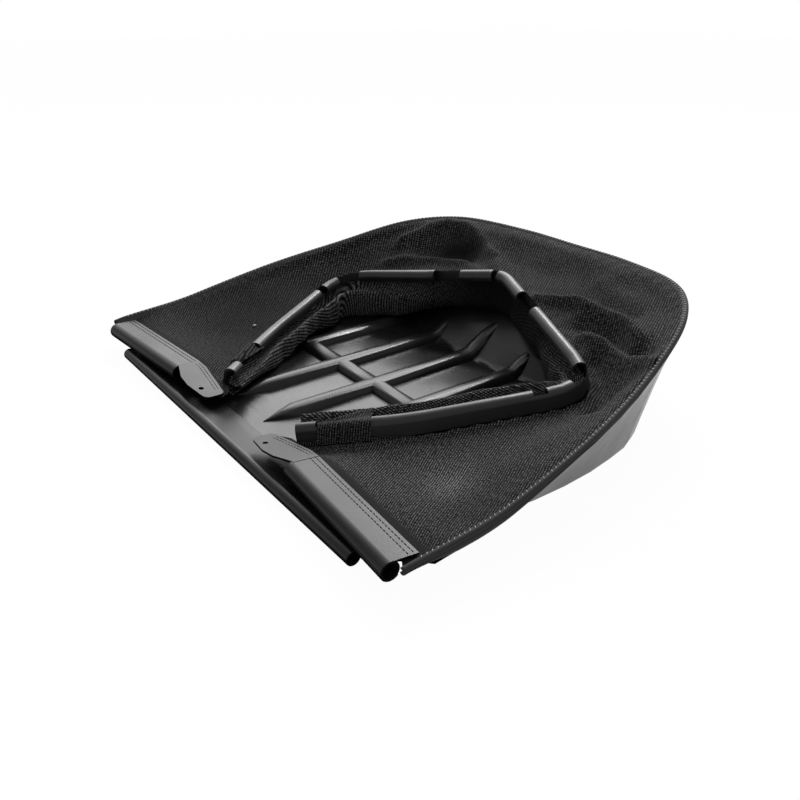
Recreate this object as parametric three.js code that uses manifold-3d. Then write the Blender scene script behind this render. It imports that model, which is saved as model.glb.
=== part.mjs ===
// Grass collection bag of a lawn mower, folded flat: a ribbed moulded tray, hooked clip strips
// along its mouth and a knitted mesh bag that is sewn to the tray and to the clips.
// Millimetres, +Z up. The tray lies on the ground and its open front faces -Y.
import * as THREE from 'three';
import { mergeVertices } from 'three/addons/utils/BufferGeometryUtils.js';
import Module from 'manifold-3d';

const wasm = await Module();
wasm.setup();

const seatGap = 0.3;

// Tray: a thin shell with an open front, side walls that rise to the rear and a rear ramp
const tray = {
  wall: 3.5,
  rimWidth: 496,
  rimLength: 412,
  rimHeight: 86,
  floorWidth: 432,
  floorLength: 266,
  frontSetback: 8,
};

// Outlines of the right half from the front corner round to the rear middle,
// as shares of half the width, of the length and, for the rim, of its height
const rimOutline = [
  [0.993, 0.07, 0.205], [1, 0.18, 0.3], [0.96, 0.44, 0.565], [0.887, 0.625, 0.745],
  [0.766, 0.815, 0.965], [0.6, 0.925, 1.035], [0.3, 0.988, 1.015], [0, 1, 1],
];
const floorOutline = [
  [0.93, 0, 0], [0.95, 0.2, 0], [1, 0.55, 0], [0.978, 0.85, 0],
  [0.9, 1.055, 0], [0.7, 1.13, 0], [0.32, 1.015, 0], [0, 1, 0],
];
// Profile of the wall from the floor edge to the rim, as shares of its run and of its rise
const wallProfile = [[0, 0], [0.06, 0.045], [0.17, 0.19], [0.4, 0.46], [0.7, 0.78], [1, 1]];
const wallStations = 36;

// Ribs: rounded ridges along the floor that run up the ramp, tied by one cross rib
const rib = {
  pitch: 58,
  width: 21,
  height: 7,
  frontTip: 42,
  taper: 30,
  crossPosition: 156,
  crossDrop: 0.4,
  rampReach: [38, 26, 11],
};
const ribsEachSide = 2;

// Clip strips: a flat flange that curls into a hook, pressed on the frame of the mower's bag holder
const frontClip = { length: 400, od: 11.3, wall: 1.6, reach: 20, foot: 9 };
const sideClip = {
  od: 14.6,
  wall: 1.8,
  outerEnd: 236.5,
  innerEnd: 102,
  tabEnd: 42,
  axisFront: 2.5,
  toeIn: 4.4,
  reach: 20,
  slope: 4,
  tabFront: 10,
  tabRear: 12,
  tabDrop: 8,
  tabHole: 4.6,
  tabHolePosition: 58,
};
const mouthClip = {
  od: 12.5,
  wall: 1.7,
  flange: 10,
  lean: 8,
  endClip: 16,
  endGap: 44,
  armLong: 126,
  armNotch: 12,
  armShort: 22,
  cornerGap: 28,
  rearLong: 95,
  rearNotch: 31,
  rearShort: 36,
};
// Corners of the mouth clip's axis on the right, from its front end to its crown: place, how much
// higher it lies there than on the left, and how far from the corner its bend begins
const mouthCorners = [
  { place: [58, 42, 23], tilt: -4, bend: 0 },
  { place: [114, 107, 28.5], tilt: 8, bend: 26 },
  { place: [184, 241, 47], tilt: 8, bend: 42 },
  { place: [0, 311, 78], tilt: 0, bend: 14 },
];

// Mesh bag: one sheet from the tray's rim to the mouth clip, with its slack tucked inside the mouth
const mesh = {
  thickness: 1.5,
  hem: 5.4,
  hemWidth: 4.5,
  clipOverlap: 8,
  cornerSetback: 4,
  frontBlend: 60,
};
const meshStations = 46;

const up = new THREE.Vector3(0, 0, 1);

function asManifold(geometry) {
  const plain = geometry.clone();
  plain.deleteAttribute('normal');
  plain.deleteAttribute('uv');
  const merged = mergeVertices(plain, 1e-4);
  return new wasm.Manifold(new wasm.Mesh({
    numProp: 3,
    vertProperties: new Float32Array(merged.attributes.position.array),
    triVerts: new Uint32Array(merged.index.array),
  }));
}

function asGeometry(manifold) {
  const result = manifold.getMesh();
  const geometry = new THREE.BufferGeometry();
  const positions = new Float32Array(result.numVert * 3);
  for (let i = 0; i < result.numVert; i += 1) {
    for (let axis = 0; axis < 3; axis += 1) {
      positions[i * 3 + axis] = result.vertProperties[i * result.numProp + axis];
    }
  }
  geometry.setAttribute('position', new THREE.BufferAttribute(positions, 3));
  geometry.setIndex(new THREE.BufferAttribute(new Uint32Array(result.triVerts), 1));
  return geometry;
}

// Closed body from points and quads, each quad split on one diagonal
function bodyFromQuads(points, quads) {
  const geometry = new THREE.BufferGeometry();
  const positions = new Float32Array(points.flatMap((point) => [point.x, point.y, point.z]));
  const indices = [];
  for (const [a, b, c, d] of quads) {
    if (a !== b && b !== c && a !== c) indices.push(a, b, c);
    if (a !== c && c !== d && a !== d) indices.push(a, c, d);
  }
  geometry.setAttribute('position', new THREE.BufferAttribute(positions, 3));
  geometry.setIndex(indices);
  return geometry;
}

// Sections of equal point count joined along their length, with the ends closed across matching
// points: the first half of a section runs one way and the second half comes back beside it
function loft(sections) {
  const count = sections[0].length;
  const points = sections.flat();
  const quads = [];
  for (let i = 0; i + 1 < sections.length; i += 1) {
    for (let k = 0; k < count; k += 1) {
      const next = (k + 1) % count;
      quads.push([i * count + k, i * count + next, (i + 1) * count + next, (i + 1) * count + k]);
    }
  }
  const last = (sections.length - 1) * count;
  for (let k = 0; k + 1 < count / 2; k += 1) {
    const a = k;
    const b = k + 1;
    const c = count - 2 - k;
    const d = count - 1 - k;
    quads.push([d, c, b, a]);
    quads.push([last + a, last + b, last + c, last + d]);
  }
  return bodyFromQuads(points, quads);
}

function splineThrough(rows, halfWidth, length, height) {
  const points = rows.map(([x, y, z]) => new THREE.Vector3(x * halfWidth, y * length, z * height));
  const mirrored = points.slice(0, -1).reverse().map((p) => new THREE.Vector3(-p.x, p.y, p.z));
  return new THREE.CatmullRomCurve3([...points, ...mirrored], false, 'centripetal');
}

// From the right front corner round the rear to the left front corner
const rimCurve = splineThrough(rimOutline, tray.rimWidth / 2, tray.rimLength, tray.rimHeight);
const floorRows = floorOutline.map(([x, y, z]) => {
  const length = tray.floorLength - tray.frontSetback;
  return [x, (tray.frontSetback + y * length) / tray.floorLength, z];
});
const floorCurve = splineThrough(floorRows, tray.floorWidth / 2, tray.floorLength, 1);

function wallPoint(share, level) {
  const foot = floorCurve.getPoint(share);
  const rim = rimCurve.getPoint(share);
  const [run, rise] = wallProfile[level];
  return new THREE.Vector3(
    THREE.MathUtils.lerp(foot.x, rim.x, run),
    THREE.MathUtils.lerp(foot.y, rim.y, run),
    rim.z * rise,
  );
}

function wallNormal(share, level) {
  const step = 0.5 / wallStations;
  const ahead = wallPoint(Math.min(share + step, 1), level);
  const behind = wallPoint(Math.max(share - step, 0), level);
  const above = wallPoint(share, Math.min(level + 1, wallProfile.length - 1));
  const below = wallPoint(share, Math.max(level - 1, 0));
  return ahead.sub(behind).cross(above.sub(below)).normalize().negate();
}

// Closed basin: the walls, a flat bottom about its middle, a ruled top and a front, for either face
// of the shell
function basin(pointAt) {
  const levels = wallProfile.length;
  const points = [];
  const quads = [];
  for (let j = 0; j <= wallStations; j += 1) {
    for (let k = 0; k < levels; k += 1) points.push(pointAt(j, k));
  }
  const at = (j, k) => j * levels + k;
  for (let j = 0; j < wallStations; j += 1) {
    for (let k = 0; k + 1 < levels; k += 1) {
      quads.push([at(j, k), at(j + 1, k), at(j + 1, k + 1), at(j, k + 1)]);
    }
  }
  const middle = points.length;
  points.push(new THREE.Vector3(0, tray.floorLength / 2, points[0].z));
  for (let j = 0; j < wallStations; j += 1) quads.push([middle, at(j + 1, 0), at(j, 0), at(j, 0)]);
  quads.push([middle, at(0, 0), at(wallStations, 0), at(wallStations, 0)]);
  for (let j = 0; j < wallStations / 2; j += 1) {
    const other = wallStations - j;
    quads.push([at(j, levels - 1), at(j + 1, levels - 1), at(other - 1, levels - 1), at(other, levels - 1)]);
  }
  for (let k = 0; k + 1 < levels; k += 1) {
    quads.push([at(0, k), at(0, k + 1), at(wallStations, k + 1), at(wallStations, k)]);
  }
  return bodyFromQuads(points, quads);
}

const outerBasin = basin((j, k) => wallPoint(j / wallStations, k));

const innerBasin = basin((j, k) => {
  const share = j / wallStations;
  const point = wallPoint(share, k);
  if (k === 0) {
    point.z = tray.wall;
  } else {
    point.addScaledVector(wallNormal(share, k), tray.wall);
  }
  if (k === wallProfile.length - 1) point.addScaledVector(up, tray.wall * 2);
  if (j === 0 || j === wallStations) point.y -= tray.frontSetback * 2;
  return point;
});

const outerSolid = asManifold(outerBasin);
const shell = outerSolid.subtract(asManifold(innerBasin));
const shellFaces = upwardFaces(asGeometry(shell));

// Half of the rib's rounded section, from its foot to its crest, as shares of its half width and height
const ribSection = [[1, -0.07], [0.88, 0.3], [0.66, 0.78], [0.35, 0.97], [0, 1]];

// One station of a rib: the section stands on a foot that reaches down into the floor
function ribStation(centre, across, top, width) {
  const half = [...ribSection].map(([x, z]) => [x * width * 0.5, z]);
  const full = [...half, ...half.slice(0, -1).reverse().map(([x, z]) => [-x, z])];
  const foot = tray.wall / 2;
  const crest = full.map(([x, z]) => centre.clone()
    .addScaledVector(across, x)
    .setZ(top - rib.height * (1 - z)));
  const base = [...full].reverse().map(([x]) => centre.clone().addScaledVector(across, x).setZ(foot));
  return [...crest, ...base];
}

function longRib(index) {
  const x = index * rib.pitch;
  const step = Math.abs(index);
  const crossed = step === ribsEachSide;
  const start = crossed ? rib.crossPosition - rib.width * 0.2 : rib.frontTip + step * 5;
  const end = tray.floorLength + rib.rampReach[step];
  const floorCrest = tray.wall + rib.height;
  const across = new THREE.Vector3(1, 0, 0);
  const stations = [];
  if (!crossed) {
    stations.push([start, floorCrest - rib.height * 0.92, rib.width * 0.12]);
    stations.push([start + rib.taper * 0.55, floorCrest - rib.height * 0.3, rib.width * 0.62]);
    stations.push([start + rib.taper, floorCrest, rib.width]);
  } else {
    stations.push([start, floorCrest, rib.width]);
  }
  const climbStart = tray.floorLength - rib.width;
  stations.push([climbStart, floorCrest, rib.width]);
  const climbs = 5;
  for (let i = 1; i <= climbs; i += 1) {
    const share = i / climbs;
    const y = THREE.MathUtils.lerp(climbStart, end, share);
    const ground = Math.max(heightAt(shellFaces, x, y), tray.wall);
    const lift = rib.height * (1 - 0.85 * share ** 3);
    stations.push([y, ground + lift, rib.width * (1 - 0.4 * share ** 4)]);
  }
  const sections = stations.map(([y, top, width]) => (
    ribStation(new THREE.Vector3(x, y, 0), across, top, width)
  ));
  return asManifold(loft(sections.reverse()));
}

function crossRib() {
  const reach = ribsEachSide * rib.pitch;
  const across = new THREE.Vector3(0, 1, 0);
  const sections = [-reach, reach].map((x) => (
    ribStation(
      new THREE.Vector3(x, rib.crossPosition, 0),
      across,
      tray.wall + rib.height - rib.crossDrop,
      rib.width,
    )
  ));
  return asManifold(loft(sections));
}

function makeTray() {
  let ribs = crossRib();
  for (let index = -ribsEachSide; index <= ribsEachSide; index += 1) ribs = ribs.add(longRib(index));
  return asGeometry(shell.add(ribs.intersect(outerSolid)));
}

// Hook profile: the flange leaves the top of the tube and falls away behind it at the slope angle;
// the hook runs round the front and back underneath, open behind its lower lip
function hookProfile({ od, wall, reach, slope, wrap = 235, foot = 0, lift = 0, steps = 15 }) {
  const outer = od / 2;
  const inner = outer - wall;
  const tilt = THREE.MathUtils.degToRad(slope);
  const start = Math.PI / 2 - tilt;
  const end = start + THREE.MathUtils.degToRad(wrap);
  const points = [];
  for (let i = 0; i <= steps; i += 1) {
    const angle = THREE.MathUtils.lerp(start, end, i / steps);
    points.push(new THREE.Vector2(Math.cos(angle) * outer, Math.sin(angle) * outer));
  }
  for (let i = steps; i >= 0; i -= 1) {
    const angle = THREE.MathUtils.lerp(start, end, i / steps);
    points.push(new THREE.Vector2(Math.cos(angle) * inner, Math.sin(angle) * inner));
  }
  const along = new THREE.Vector2(Math.cos(tilt), -Math.sin(tilt));
  const lower = points[points.length - 1].clone().addScaledVector(along, reach);
  const upper = points[0].clone().addScaledVector(along, reach);
  if (foot > 0) {
    points.push(lower, new THREE.Vector2(lower.x + foot, lift));
    points.push(new THREE.Vector2(lower.x + foot, lift + wall), upper);
    lower.y = lift;
    upper.y = lift + wall;
  } else {
    points.push(lower, upper);
  }
  return points;
}

// Profile along Y and Z drawn out along X from one end to the other
function alongX(profile, from, to) {
  const geometry = new THREE.ExtrudeGeometry(new THREE.Shape(profile), {
    depth: to - from,
    bevelEnabled: false,
    steps: 1,
  });
  const basis = new THREE.Matrix4().makeBasis(
    new THREE.Vector3(0, 1, 0),
    new THREE.Vector3(0, 0, 1),
    new THREE.Vector3(1, 0, 0),
  );
  basis.setPosition(from, 0, 0);
  return geometry.applyMatrix4(basis);
}

// The front clip lies on the ground before the tray and its flange steps down onto the floor
const frontAxisHeight = frontClip.od / 2 + seatGap;
const frontSlope = (() => {
  const drop = frontClip.od - frontClip.wall - tray.wall;
  return THREE.MathUtils.radToDeg(Math.asin(drop / frontClip.reach));
})();

function makeFrontClip() {
  const profile = hookProfile({
    ...frontClip,
    slope: frontSlope,
    lift: tray.wall + seatGap - frontAxisHeight,
  });
  const geometry = alongX(profile, -frontClip.length / 2, frontClip.length / 2);
  return geometry.translate(0, 0, frontAxisHeight);
}

// A side clip lies on the front clip. Its hook ends short and its flange goes on as a flat tab.
const sideToe = Math.tan(THREE.MathUtils.degToRad(sideClip.toeIn));
const crossingOffset = sideClip.axisFront + (sideClip.outerEnd - frontClip.length / 2) * sideToe;
const axisSpacing = frontClip.od / 2 + seatGap * 1.5 + sideClip.od / 2;
const sideAxisHeight = frontAxisHeight + Math.sqrt(axisSpacing ** 2 - crossingOffset ** 2);

function makeSideClip() {
  const profile = hookProfile(sideClip);
  const hook = asManifold(alongX(profile, sideClip.innerEnd, sideClip.outerEnd));
  const tilt = THREE.MathUtils.degToRad(sideClip.slope);
  const radius = sideClip.od / 2;
  const along = new THREE.Vector2(Math.cos(tilt), -Math.sin(tilt));
  const top = new THREE.Vector2(Math.sin(tilt) * radius, Math.cos(tilt) * radius);
  const rear = sideClip.reach;
  const tabLength = sideClip.innerEnd - sideClip.tabEnd;
  const overlap = sideClip.wall;
  const front = -sideClip.tabFront;
  const corner = tabLength * 0.1;
  const neck = -top.x / along.x;
  const outline = new THREE.Shape();
  outline.moveTo(tabLength + overlap, neck);
  outline.lineTo(tabLength + overlap, rear);
  outline.lineTo(tabLength * 0.8, rear);
  outline.lineTo(corner, sideClip.tabRear);
  outline.quadraticCurveTo(0, sideClip.tabRear, 0, sideClip.tabRear - corner);
  outline.lineTo(0, front * 0.75 + corner);
  outline.quadraticCurveTo(0, front * 0.75, corner, front * 0.8);
  outline.lineTo(tabLength * 0.45, front);
  outline.lineTo(tabLength * 0.7, front * 0.8);
  outline.lineTo(tabLength, neck);
  const hole = new THREE.Path();
  const holeX = sideClip.tabHolePosition - sideClip.tabEnd;
  hole.absarc(holeX, front + sideClip.tabHole * 1.6, sideClip.tabHole / 2, 0, Math.PI * 2, true);
  outline.holes.push(hole);
  const plate = new THREE.ExtrudeGeometry(outline, {
    depth: sideClip.wall,
    bevelEnabled: false,
    curveSegments: 6,
  });
  const basis = new THREE.Matrix4().makeBasis(
    new THREE.Vector3(1, 0, sideClip.tabDrop / tabLength),
    new THREE.Vector3(0, along.x, along.y),
    new THREE.Vector3(0, -along.y, along.x),
  );
  const inner = radius - sideClip.wall;
  basis.setPosition(
    sideClip.tabEnd,
    Math.sin(tilt) * inner,
    Math.cos(tilt) * inner - sideClip.tabDrop,
  );
  return asGeometry(hook.add(asManifold(plate.applyMatrix4(basis))));
}

// Axis of the mouth clip: straight runs with rounded corners, from the right end to the left end
function mouthAxis() {
  const onSide = (side) => mouthCorners.map(({ place: [x, y, z], tilt }) => (
    new THREE.Vector3(side * x, y, z + (side * tilt) / 2)
  ));
  const corners = [...onSide(1), ...onSide(-1).slice(0, -1).reverse()];
  const bends = [...mouthCorners, ...mouthCorners.slice(0, -1).reverse()].map(({ bend }) => bend);
  const path = new THREE.CurvePath();
  let from = corners[0];
  for (let i = 1; i + 1 < corners.length; i += 1) {
    const before = corners[i].clone().sub(corners[i - 1]).normalize();
    const after = corners[i + 1].clone().sub(corners[i]).normalize();
    const start = corners[i].clone().addScaledVector(before, -bends[i]);
    const end = corners[i].clone().addScaledVector(after, bends[i]);
    path.add(new THREE.LineCurve3(from, start));
    path.add(new THREE.QuadraticBezierCurve3(start, corners[i].clone(), end));
    from = end;
  }
  path.add(new THREE.LineCurve3(from, corners[corners.length - 1]));
  return path;
}

const mouthPath = mouthAxis();
const mouthLength = mouthPath.getLength();

// Upright frame on the axis: outward is level, away from the middle of the mouth
function mouthFrame(distance) {
  const share = THREE.MathUtils.clamp(distance / mouthLength, 0, 1);
  const centre = mouthPath.getPointAt(share);
  const forward = mouthPath.getTangentAt(share);
  const outward = new THREE.Vector3(forward.y, -forward.x, 0).normalize();
  const rise = outward.clone().cross(forward).normalize();
  if (rise.z < 0) rise.negate();
  return { centre, forward, outward, rise };
}

function mouthDistances() {
  const steps = [];
  let travelled = 0;
  for (const curve of mouthPath.curves) {
    const length = curve.getLength();
    const pieces = curve instanceof THREE.LineCurve3 ? 2 : 5;
    for (let i = 0; i < pieces; i += 1) steps.push(travelled + (length * i) / pieces);
    travelled += length;
  }
  steps.push(travelled);
  return steps;
}

function makeMouthClip() {
  const profile = hookProfile({
    od: mouthClip.od,
    wall: mouthClip.wall,
    reach: mouthClip.flange,
    slope: 90 - mouthClip.lean,
    wrap: 255,
    steps: 13,
  });
  const sections = mouthDistances().map((distance) => {
    const { centre, outward, rise } = mouthFrame(distance);
    return profile.map((p) => centre.clone().addScaledVector(outward, p.x).addScaledVector(rise, p.y));
  });
  let clip = asManifold(pairedLoft(sections.reverse()));
  const half = mouthLength / 2;
  const arm = mouthClip.endClip + mouthClip.endGap;
  const armNotch = arm + mouthClip.armLong;
  const corner = armNotch + mouthClip.armNotch + mouthClip.armShort;
  const rear = corner + mouthClip.cornerGap;
  const rearNotch = rear + mouthClip.rearLong;
  const crown = rearNotch + mouthClip.rearNotch + mouthClip.rearShort;
  const notches = [
    [mouthClip.endClip, arm],
    [armNotch, armNotch + mouthClip.armNotch],
    [corner, rear],
    [rearNotch, rearNotch + mouthClip.rearNotch],
  ];
  const mirrored = notches.map(([from, to]) => [mouthLength - to, mouthLength - from]);
  const cuts = [...notches, ...mirrored, [half + 2, mouthLength - crown]];
  for (const [from, to] of cuts) clip = clip.subtract(notchCutter(from, to));
  return asGeometry(clip);
}

// The hook profile lists its outside and then its inside, so the ends close between the two
function pairedLoft(sections) {
  const reordered = sections.map((section) => {
    const count = section.length;
    return [section[count - 1], ...section.slice(0, count - 1)];
  });
  return loft(reordered);
}

// Cuts the hook away over a stretch of the strip and leaves its upright flange
function notchCutter(from, to) {
  const size = mouthClip.od;
  const inside = size / 2 - mouthClip.wall * 1.02;
  const pieces = 6;
  const sections = [];
  for (let i = 0; i <= pieces; i += 1) {
    const { centre, outward, rise } = mouthFrame(THREE.MathUtils.lerp(from, to, i / pieces));
    const corner = (a, b) => centre.clone().addScaledVector(outward, a).addScaledVector(rise, b);
    sections.push([corner(-size, -size), corner(-size, size), corner(inside, size), corner(inside, -size)]);
  }
  return asManifold(loft(sections));
}

// Where the sheet is sewn to the mouth clip: outside, under the foot of its flange, and inside it
const mouthLean = THREE.MathUtils.degToRad(mouthClip.lean);
const seamFoot = [
  (Math.cos(mouthLean) * mouthClip.od) / 2 + Math.sin(mouthLean) * mouthClip.flange + mesh.thickness,
  (Math.sin(mouthLean) * mouthClip.od) / 2 - Math.cos(mouthLean) * mouthClip.flange - mesh.thickness * 1.35,
];
const seamInside = [
  mouthClip.od / 2 - mouthClip.wall - mesh.thickness * 0.6,
  seamFoot[1] + mesh.thickness * 3.4,
];
// Between the two seams the sheet runs inward along the floor and back over the soft roll inside
// the mouth. Each place is the distance outward from the clip's axis and the height over it; the
// tray below lifts what lies on it.
const tuckRows = [
  { along: 0, places: [[1, -30], [-5, -30], [-9, -30], [-9, -10], [-3, -11]] },
  { along: 54, places: [[0, -30], [-12, -30], [-18, -30], [-16, -3], [-6, -9.5]] },
  { along: 106, places: [[0, -40], [-13, -40], [-20, -40], [-18, -1], [-7, -9.5]] },
  { along: 172, places: [[2, -27], [-5, -60], [-18, -60], [-18, -4], [-6, -13]] },
  { along: 220, places: [[6, -26], [2, -60], [-12, -60], [-14, -12], [-2, -13.5]] },
  { along: 308, places: [[11, -24], [15, -60], [5, -60], [-3, -26], [1, -14]] },
  { along: 393, places: [[9, -26], [12, -60], [3, -60], [-1, -30], [1.5, -15]] },
];
// How far the sheet's layers lie over the tray: foot, two on the floor, toe of the roll, the rest
const layerLift = [1.9, 1.8, 1.8, 3.2, 6, 5, 5];
// Place on the rim beside each place along the mouth clip, as steps of the rim outline
const rimMatch = [[0, 0.24], [54, 1.15], [106, 1.6], [172, 2.2], [220, 3.3], [308, 5.3], [393, 7]];
// Shares of the way from the hem to the mouth clip's foot
const panelShares = [0.08, 0.17, 0.27, 0.38, 0.49, 0.6, 0.71, 0.82, 0.92];
const panelSag = 5;
// Folds and hollows of the loose mesh behind the mouth: a line in plan, as shares of the tray's half
// width and of its length, with its rise and half width
const folds = [
  { line: [[-0.4, 0.62], [-0.56, 0.73], [-0.62, 0.84], [-0.48, 0.9], [-0.33, 0.86], [-0.1, 0.79]], rise: 7, width: 12 },
  { line: [[-0.46, 0.76], [-0.3, 0.8]], rise: -8, width: 22 },
  { line: [[-0.44, 0.69], [-0.34, 0.73], [-0.16, 0.745]], rise: 5, width: 10 },
  { line: [[0.15, 0.79], [0.4, 0.83], [0.65, 0.78]], rise: 7, width: 12 },
  { line: [[0.55, 0.66], [0.7, 0.68], [0.83, 0.67]], rise: 7, width: 11 },
  { line: [[0.77, 0.6], [0.81, 0.53]], rise: -6, width: 15 },
  { line: [[0.5, 0.73], [0.72, 0.75]], rise: -4, width: 12 },
];

function between(rows, at, pick) {
  for (let i = 1; i < rows.length; i += 1) {
    const from = rows[i - 1];
    const to = rows[i];
    if (at <= pick(to)[0] || i === rows.length - 1) {
      const share = THREE.MathUtils.clamp((at - pick(from)[0]) / (pick(to)[0] - pick(from)[0]), 0, 1);
      return { from, to, share };
    }
  }
  return null;
}

// Outward direction beside the mouth clip, turned gradually round its corners
function softOutward(distance) {
  const total = new THREE.Vector3();
  const reach = 30;
  const samples = 8;
  for (let i = -samples; i <= samples; i += 1) {
    const weight = 1 - Math.abs(i) / (samples + 1);
    total.addScaledVector(mouthFrame(distance + (i * reach) / samples).outward, weight);
  }
  return total.normalize();
}

// Faces of the tray that look up, as flat triangles with their heights
function upwardFaces(geometry) {
  const position = geometry.attributes.position;
  const index = geometry.index;
  const faces = [];
  for (let i = 0; i < index.count; i += 3) {
    const [a, b, c] = [0, 1, 2].map((step) => (
      new THREE.Vector3().fromBufferAttribute(position, index.getX(i + step))
    ));
    const area = (b.x - a.x) * (c.y - a.y) - (b.y - a.y) * (c.x - a.x);
    if (area > 1e-6) faces.push({ a, b, c, area });
  }
  return faces;
}

function heightAt(faces, x, y) {
  let height = 0;
  for (const { a, b, c, area } of faces) {
    const first = ((b.x - x) * (c.y - y) - (b.y - y) * (c.x - x)) / area;
    const second = ((c.x - x) * (a.y - y) - (c.y - y) * (a.x - x)) / area;
    const third = 1 - first - second;
    if (first >= 0 && second >= 0 && third >= 0) {
      height = Math.max(height, first * a.z + second * b.z + third * c.z);
    }
  }
  return height;
}

const trayGeometry = makeTray();
const trayFaces = upwardFaces(trayGeometry);

// Highest point of the tray around a place, so that the sheet passes over ribs and walls
function trayBelow(x, y, reach) {
  let height = 0;
  for (const [dx, dy] of [[0, 0], [1, 0], [-1, 0], [0, 1], [0, -1]]) {
    height = Math.max(height, heightAt(trayFaces, x + dx * reach, y + dy * reach));
  }
  return height;
}

function foldRise(x, y) {
  let rise = 0;
  for (const fold of folds) {
    const points = fold.line.map(([across, back]) => (
      new THREE.Vector3((across * tray.rimWidth) / 2, back * tray.rimLength, 0)
    ));
    const here = new THREE.Vector3(x, y, 0);
    let nearest = Infinity;
    for (let i = 0; i + 1 < points.length; i += 1) {
      const piece = new THREE.Line3(points[i], points[i + 1]);
      nearest = Math.min(nearest, piece.closestPointToPoint(here, true, new THREE.Vector3()).distanceTo(here));
    }
    rise += fold.rise * Math.exp(-((nearest / fold.width) ** 2));
  }
  return rise;
}

function meshSection(distance) {
  const half = mouthLength / 2;
  const along = half - Math.abs(distance - half);
  const scaled = (along * 393) / half;
  const { centre, outward: seamOutward } = mouthFrame(distance);
  const outward = softOutward(distance);
  const rimStep = between(rimMatch, scaled, (row) => row);
  const step = THREE.MathUtils.lerp(rimStep.from[1], rimStep.to[1], rimStep.share);
  const rimShare = step / (2 * (rimOutline.length - 1));
  const rim = rimCurve.getPoint(distance <= half ? rimShare : 1 - rimShare);
  const tuck = between(tuckRows, scaled, (row) => [row.along]);
  const [fromPlaces, toPlaces] = [tuck.from, tuck.to].map((row) => [seamFoot, ...row.places, seamInside]);
  const places = fromPlaces.map((from, i) => {
    const to = toPlaces[i];
    const out = THREE.MathUtils.lerp(from[0], to[0], tuck.share);
    const over = THREE.MathUtils.lerp(from[1], to[1], tuck.share);
    const sewn = i === 0 || i === fromPlaces.length - 1;
    const place = centre.clone().addScaledVector(sewn ? seamOutward : outward, out);
    place.z = centre.z + over;
    return place;
  });
  const inward = places[0].clone().sub(rim).setZ(0).normalize();
  const hem = rim.clone().addScaledVector(inward, -mesh.hemWidth * 0.15);
  hem.z += seatGap * 4.4 + mesh.hem / 2;
  const hemEnd = hem.clone().addScaledVector(inward, mesh.hemWidth);
  const points = [hem.clone(), hem.clone().addScaledVector(inward, mesh.hemWidth * 0.35),
    hem.clone().addScaledVector(inward, mesh.hemWidth * 0.75), hemEnd];
  for (const share of panelShares) {
    const point = hemEnd.clone().lerp(places[0], share);
    const free = Math.sin(Math.PI * share);
    point.z += foldRise(point.x, point.y) * Math.sqrt(free) - panelSag * free;
    points.push(point);
  }
  points.push(...places);
  return points;
}

const hemThickness = [mesh.hem * 0.6, mesh.hem, mesh.hem * 0.9, mesh.thickness];

// Lifts the sheet off the tray where it would dip into it. The lift is spread along the strip,
// so that the sheet passes over a rib in one soft wave.
function liftOffTray(grid) {
  const rows = grid.length;
  const columns = grid[0].length;
  const firstTuck = columns - layerLift.length;
  for (let k = hemThickness.length; k < columns; k += 1) {
    const clear = k < firstTuck ? mesh.thickness * 1.6 : layerLift[k - firstTuck];
    const reach = k < firstTuck ? 3 : 4.5;
    const floor = grid.map((row) => trayBelow(row[k].x, row[k].y, reach) + clear);
    const spread = k < firstTuck ? 0 : 2;
    const wide = floor.map((_, i) => Math.max(...floor.slice(Math.max(i - spread, 0), i + spread + 1)));
    for (let i = 0; i < rows; i += 1) {
      const near = wide.slice(Math.max(i - 1, 0), i + 2);
      const soft = near.reduce((sum, value) => sum + value, 0) / near.length;
      grid[i][k].z = Math.max(grid[i][k].z, floor[i], spread > 0 ? soft : 0);
    }
  }
}

// Sheet of varying thickness about a grid of middle points, closed round its four edges
function sheetBody(grid, thicknessAt) {
  const rows = grid.length;
  const columns = grid[0].length;
  const top = [];
  const bottom = [];
  for (let i = 0; i < rows; i += 1) {
    for (let k = 0; k < columns; k += 1) {
      const alongA = grid[Math.min(i + 1, rows - 1)][k];
      const alongB = grid[Math.max(i - 1, 0)][k];
      const here = grid[i][k];
      const after = grid[i][Math.min(k + 1, columns - 1)];
      const before = grid[i][Math.max(k - 1, 0)];
      const first = here.clone().sub(before).normalize();
      const second = after.clone().sub(here).normalize();
      const across = first.add(second);
      const normal = alongA.clone().sub(alongB).cross(across).normalize().negate();
      const half = thicknessAt(k) / 2;
      top.push(here.clone().addScaledVector(normal, half));
      bottom.push(here.clone().addScaledVector(normal, -half));
    }
  }
  const points = [...top, ...bottom];
  const under = rows * columns;
  const at = (i, k) => i * columns + k;
  const quads = [];
  for (let i = 0; i + 1 < rows; i += 1) {
    for (let k = 0; k + 1 < columns; k += 1) {
      quads.push([at(i, k), at(i, k + 1), at(i + 1, k + 1), at(i + 1, k)]);
      const low = [at(i, k), at(i + 1, k), at(i + 1, k + 1), at(i, k + 1)];
      quads.push(low.map((index) => index + under));
    }
    const first = at(i, 0);
    const firstNext = at(i + 1, 0);
    quads.push([first, firstNext, firstNext + under, first + under]);
    const last = at(i, columns - 1);
    const lastNext = at(i + 1, columns - 1);
    quads.push([last, last + under, lastNext + under, lastNext]);
  }
  for (let k = 0; k + 1 < columns; k += 1) {
    quads.push([at(0, k), at(0, k) + under, at(0, k + 1) + under, at(0, k + 1)]);
    const i = rows - 1;
    quads.push([at(i, k), at(i, k + 1), at(i, k + 1) + under, at(i, k) + under]);
  }
  return bodyFromQuads(points, quads);
}

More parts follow.
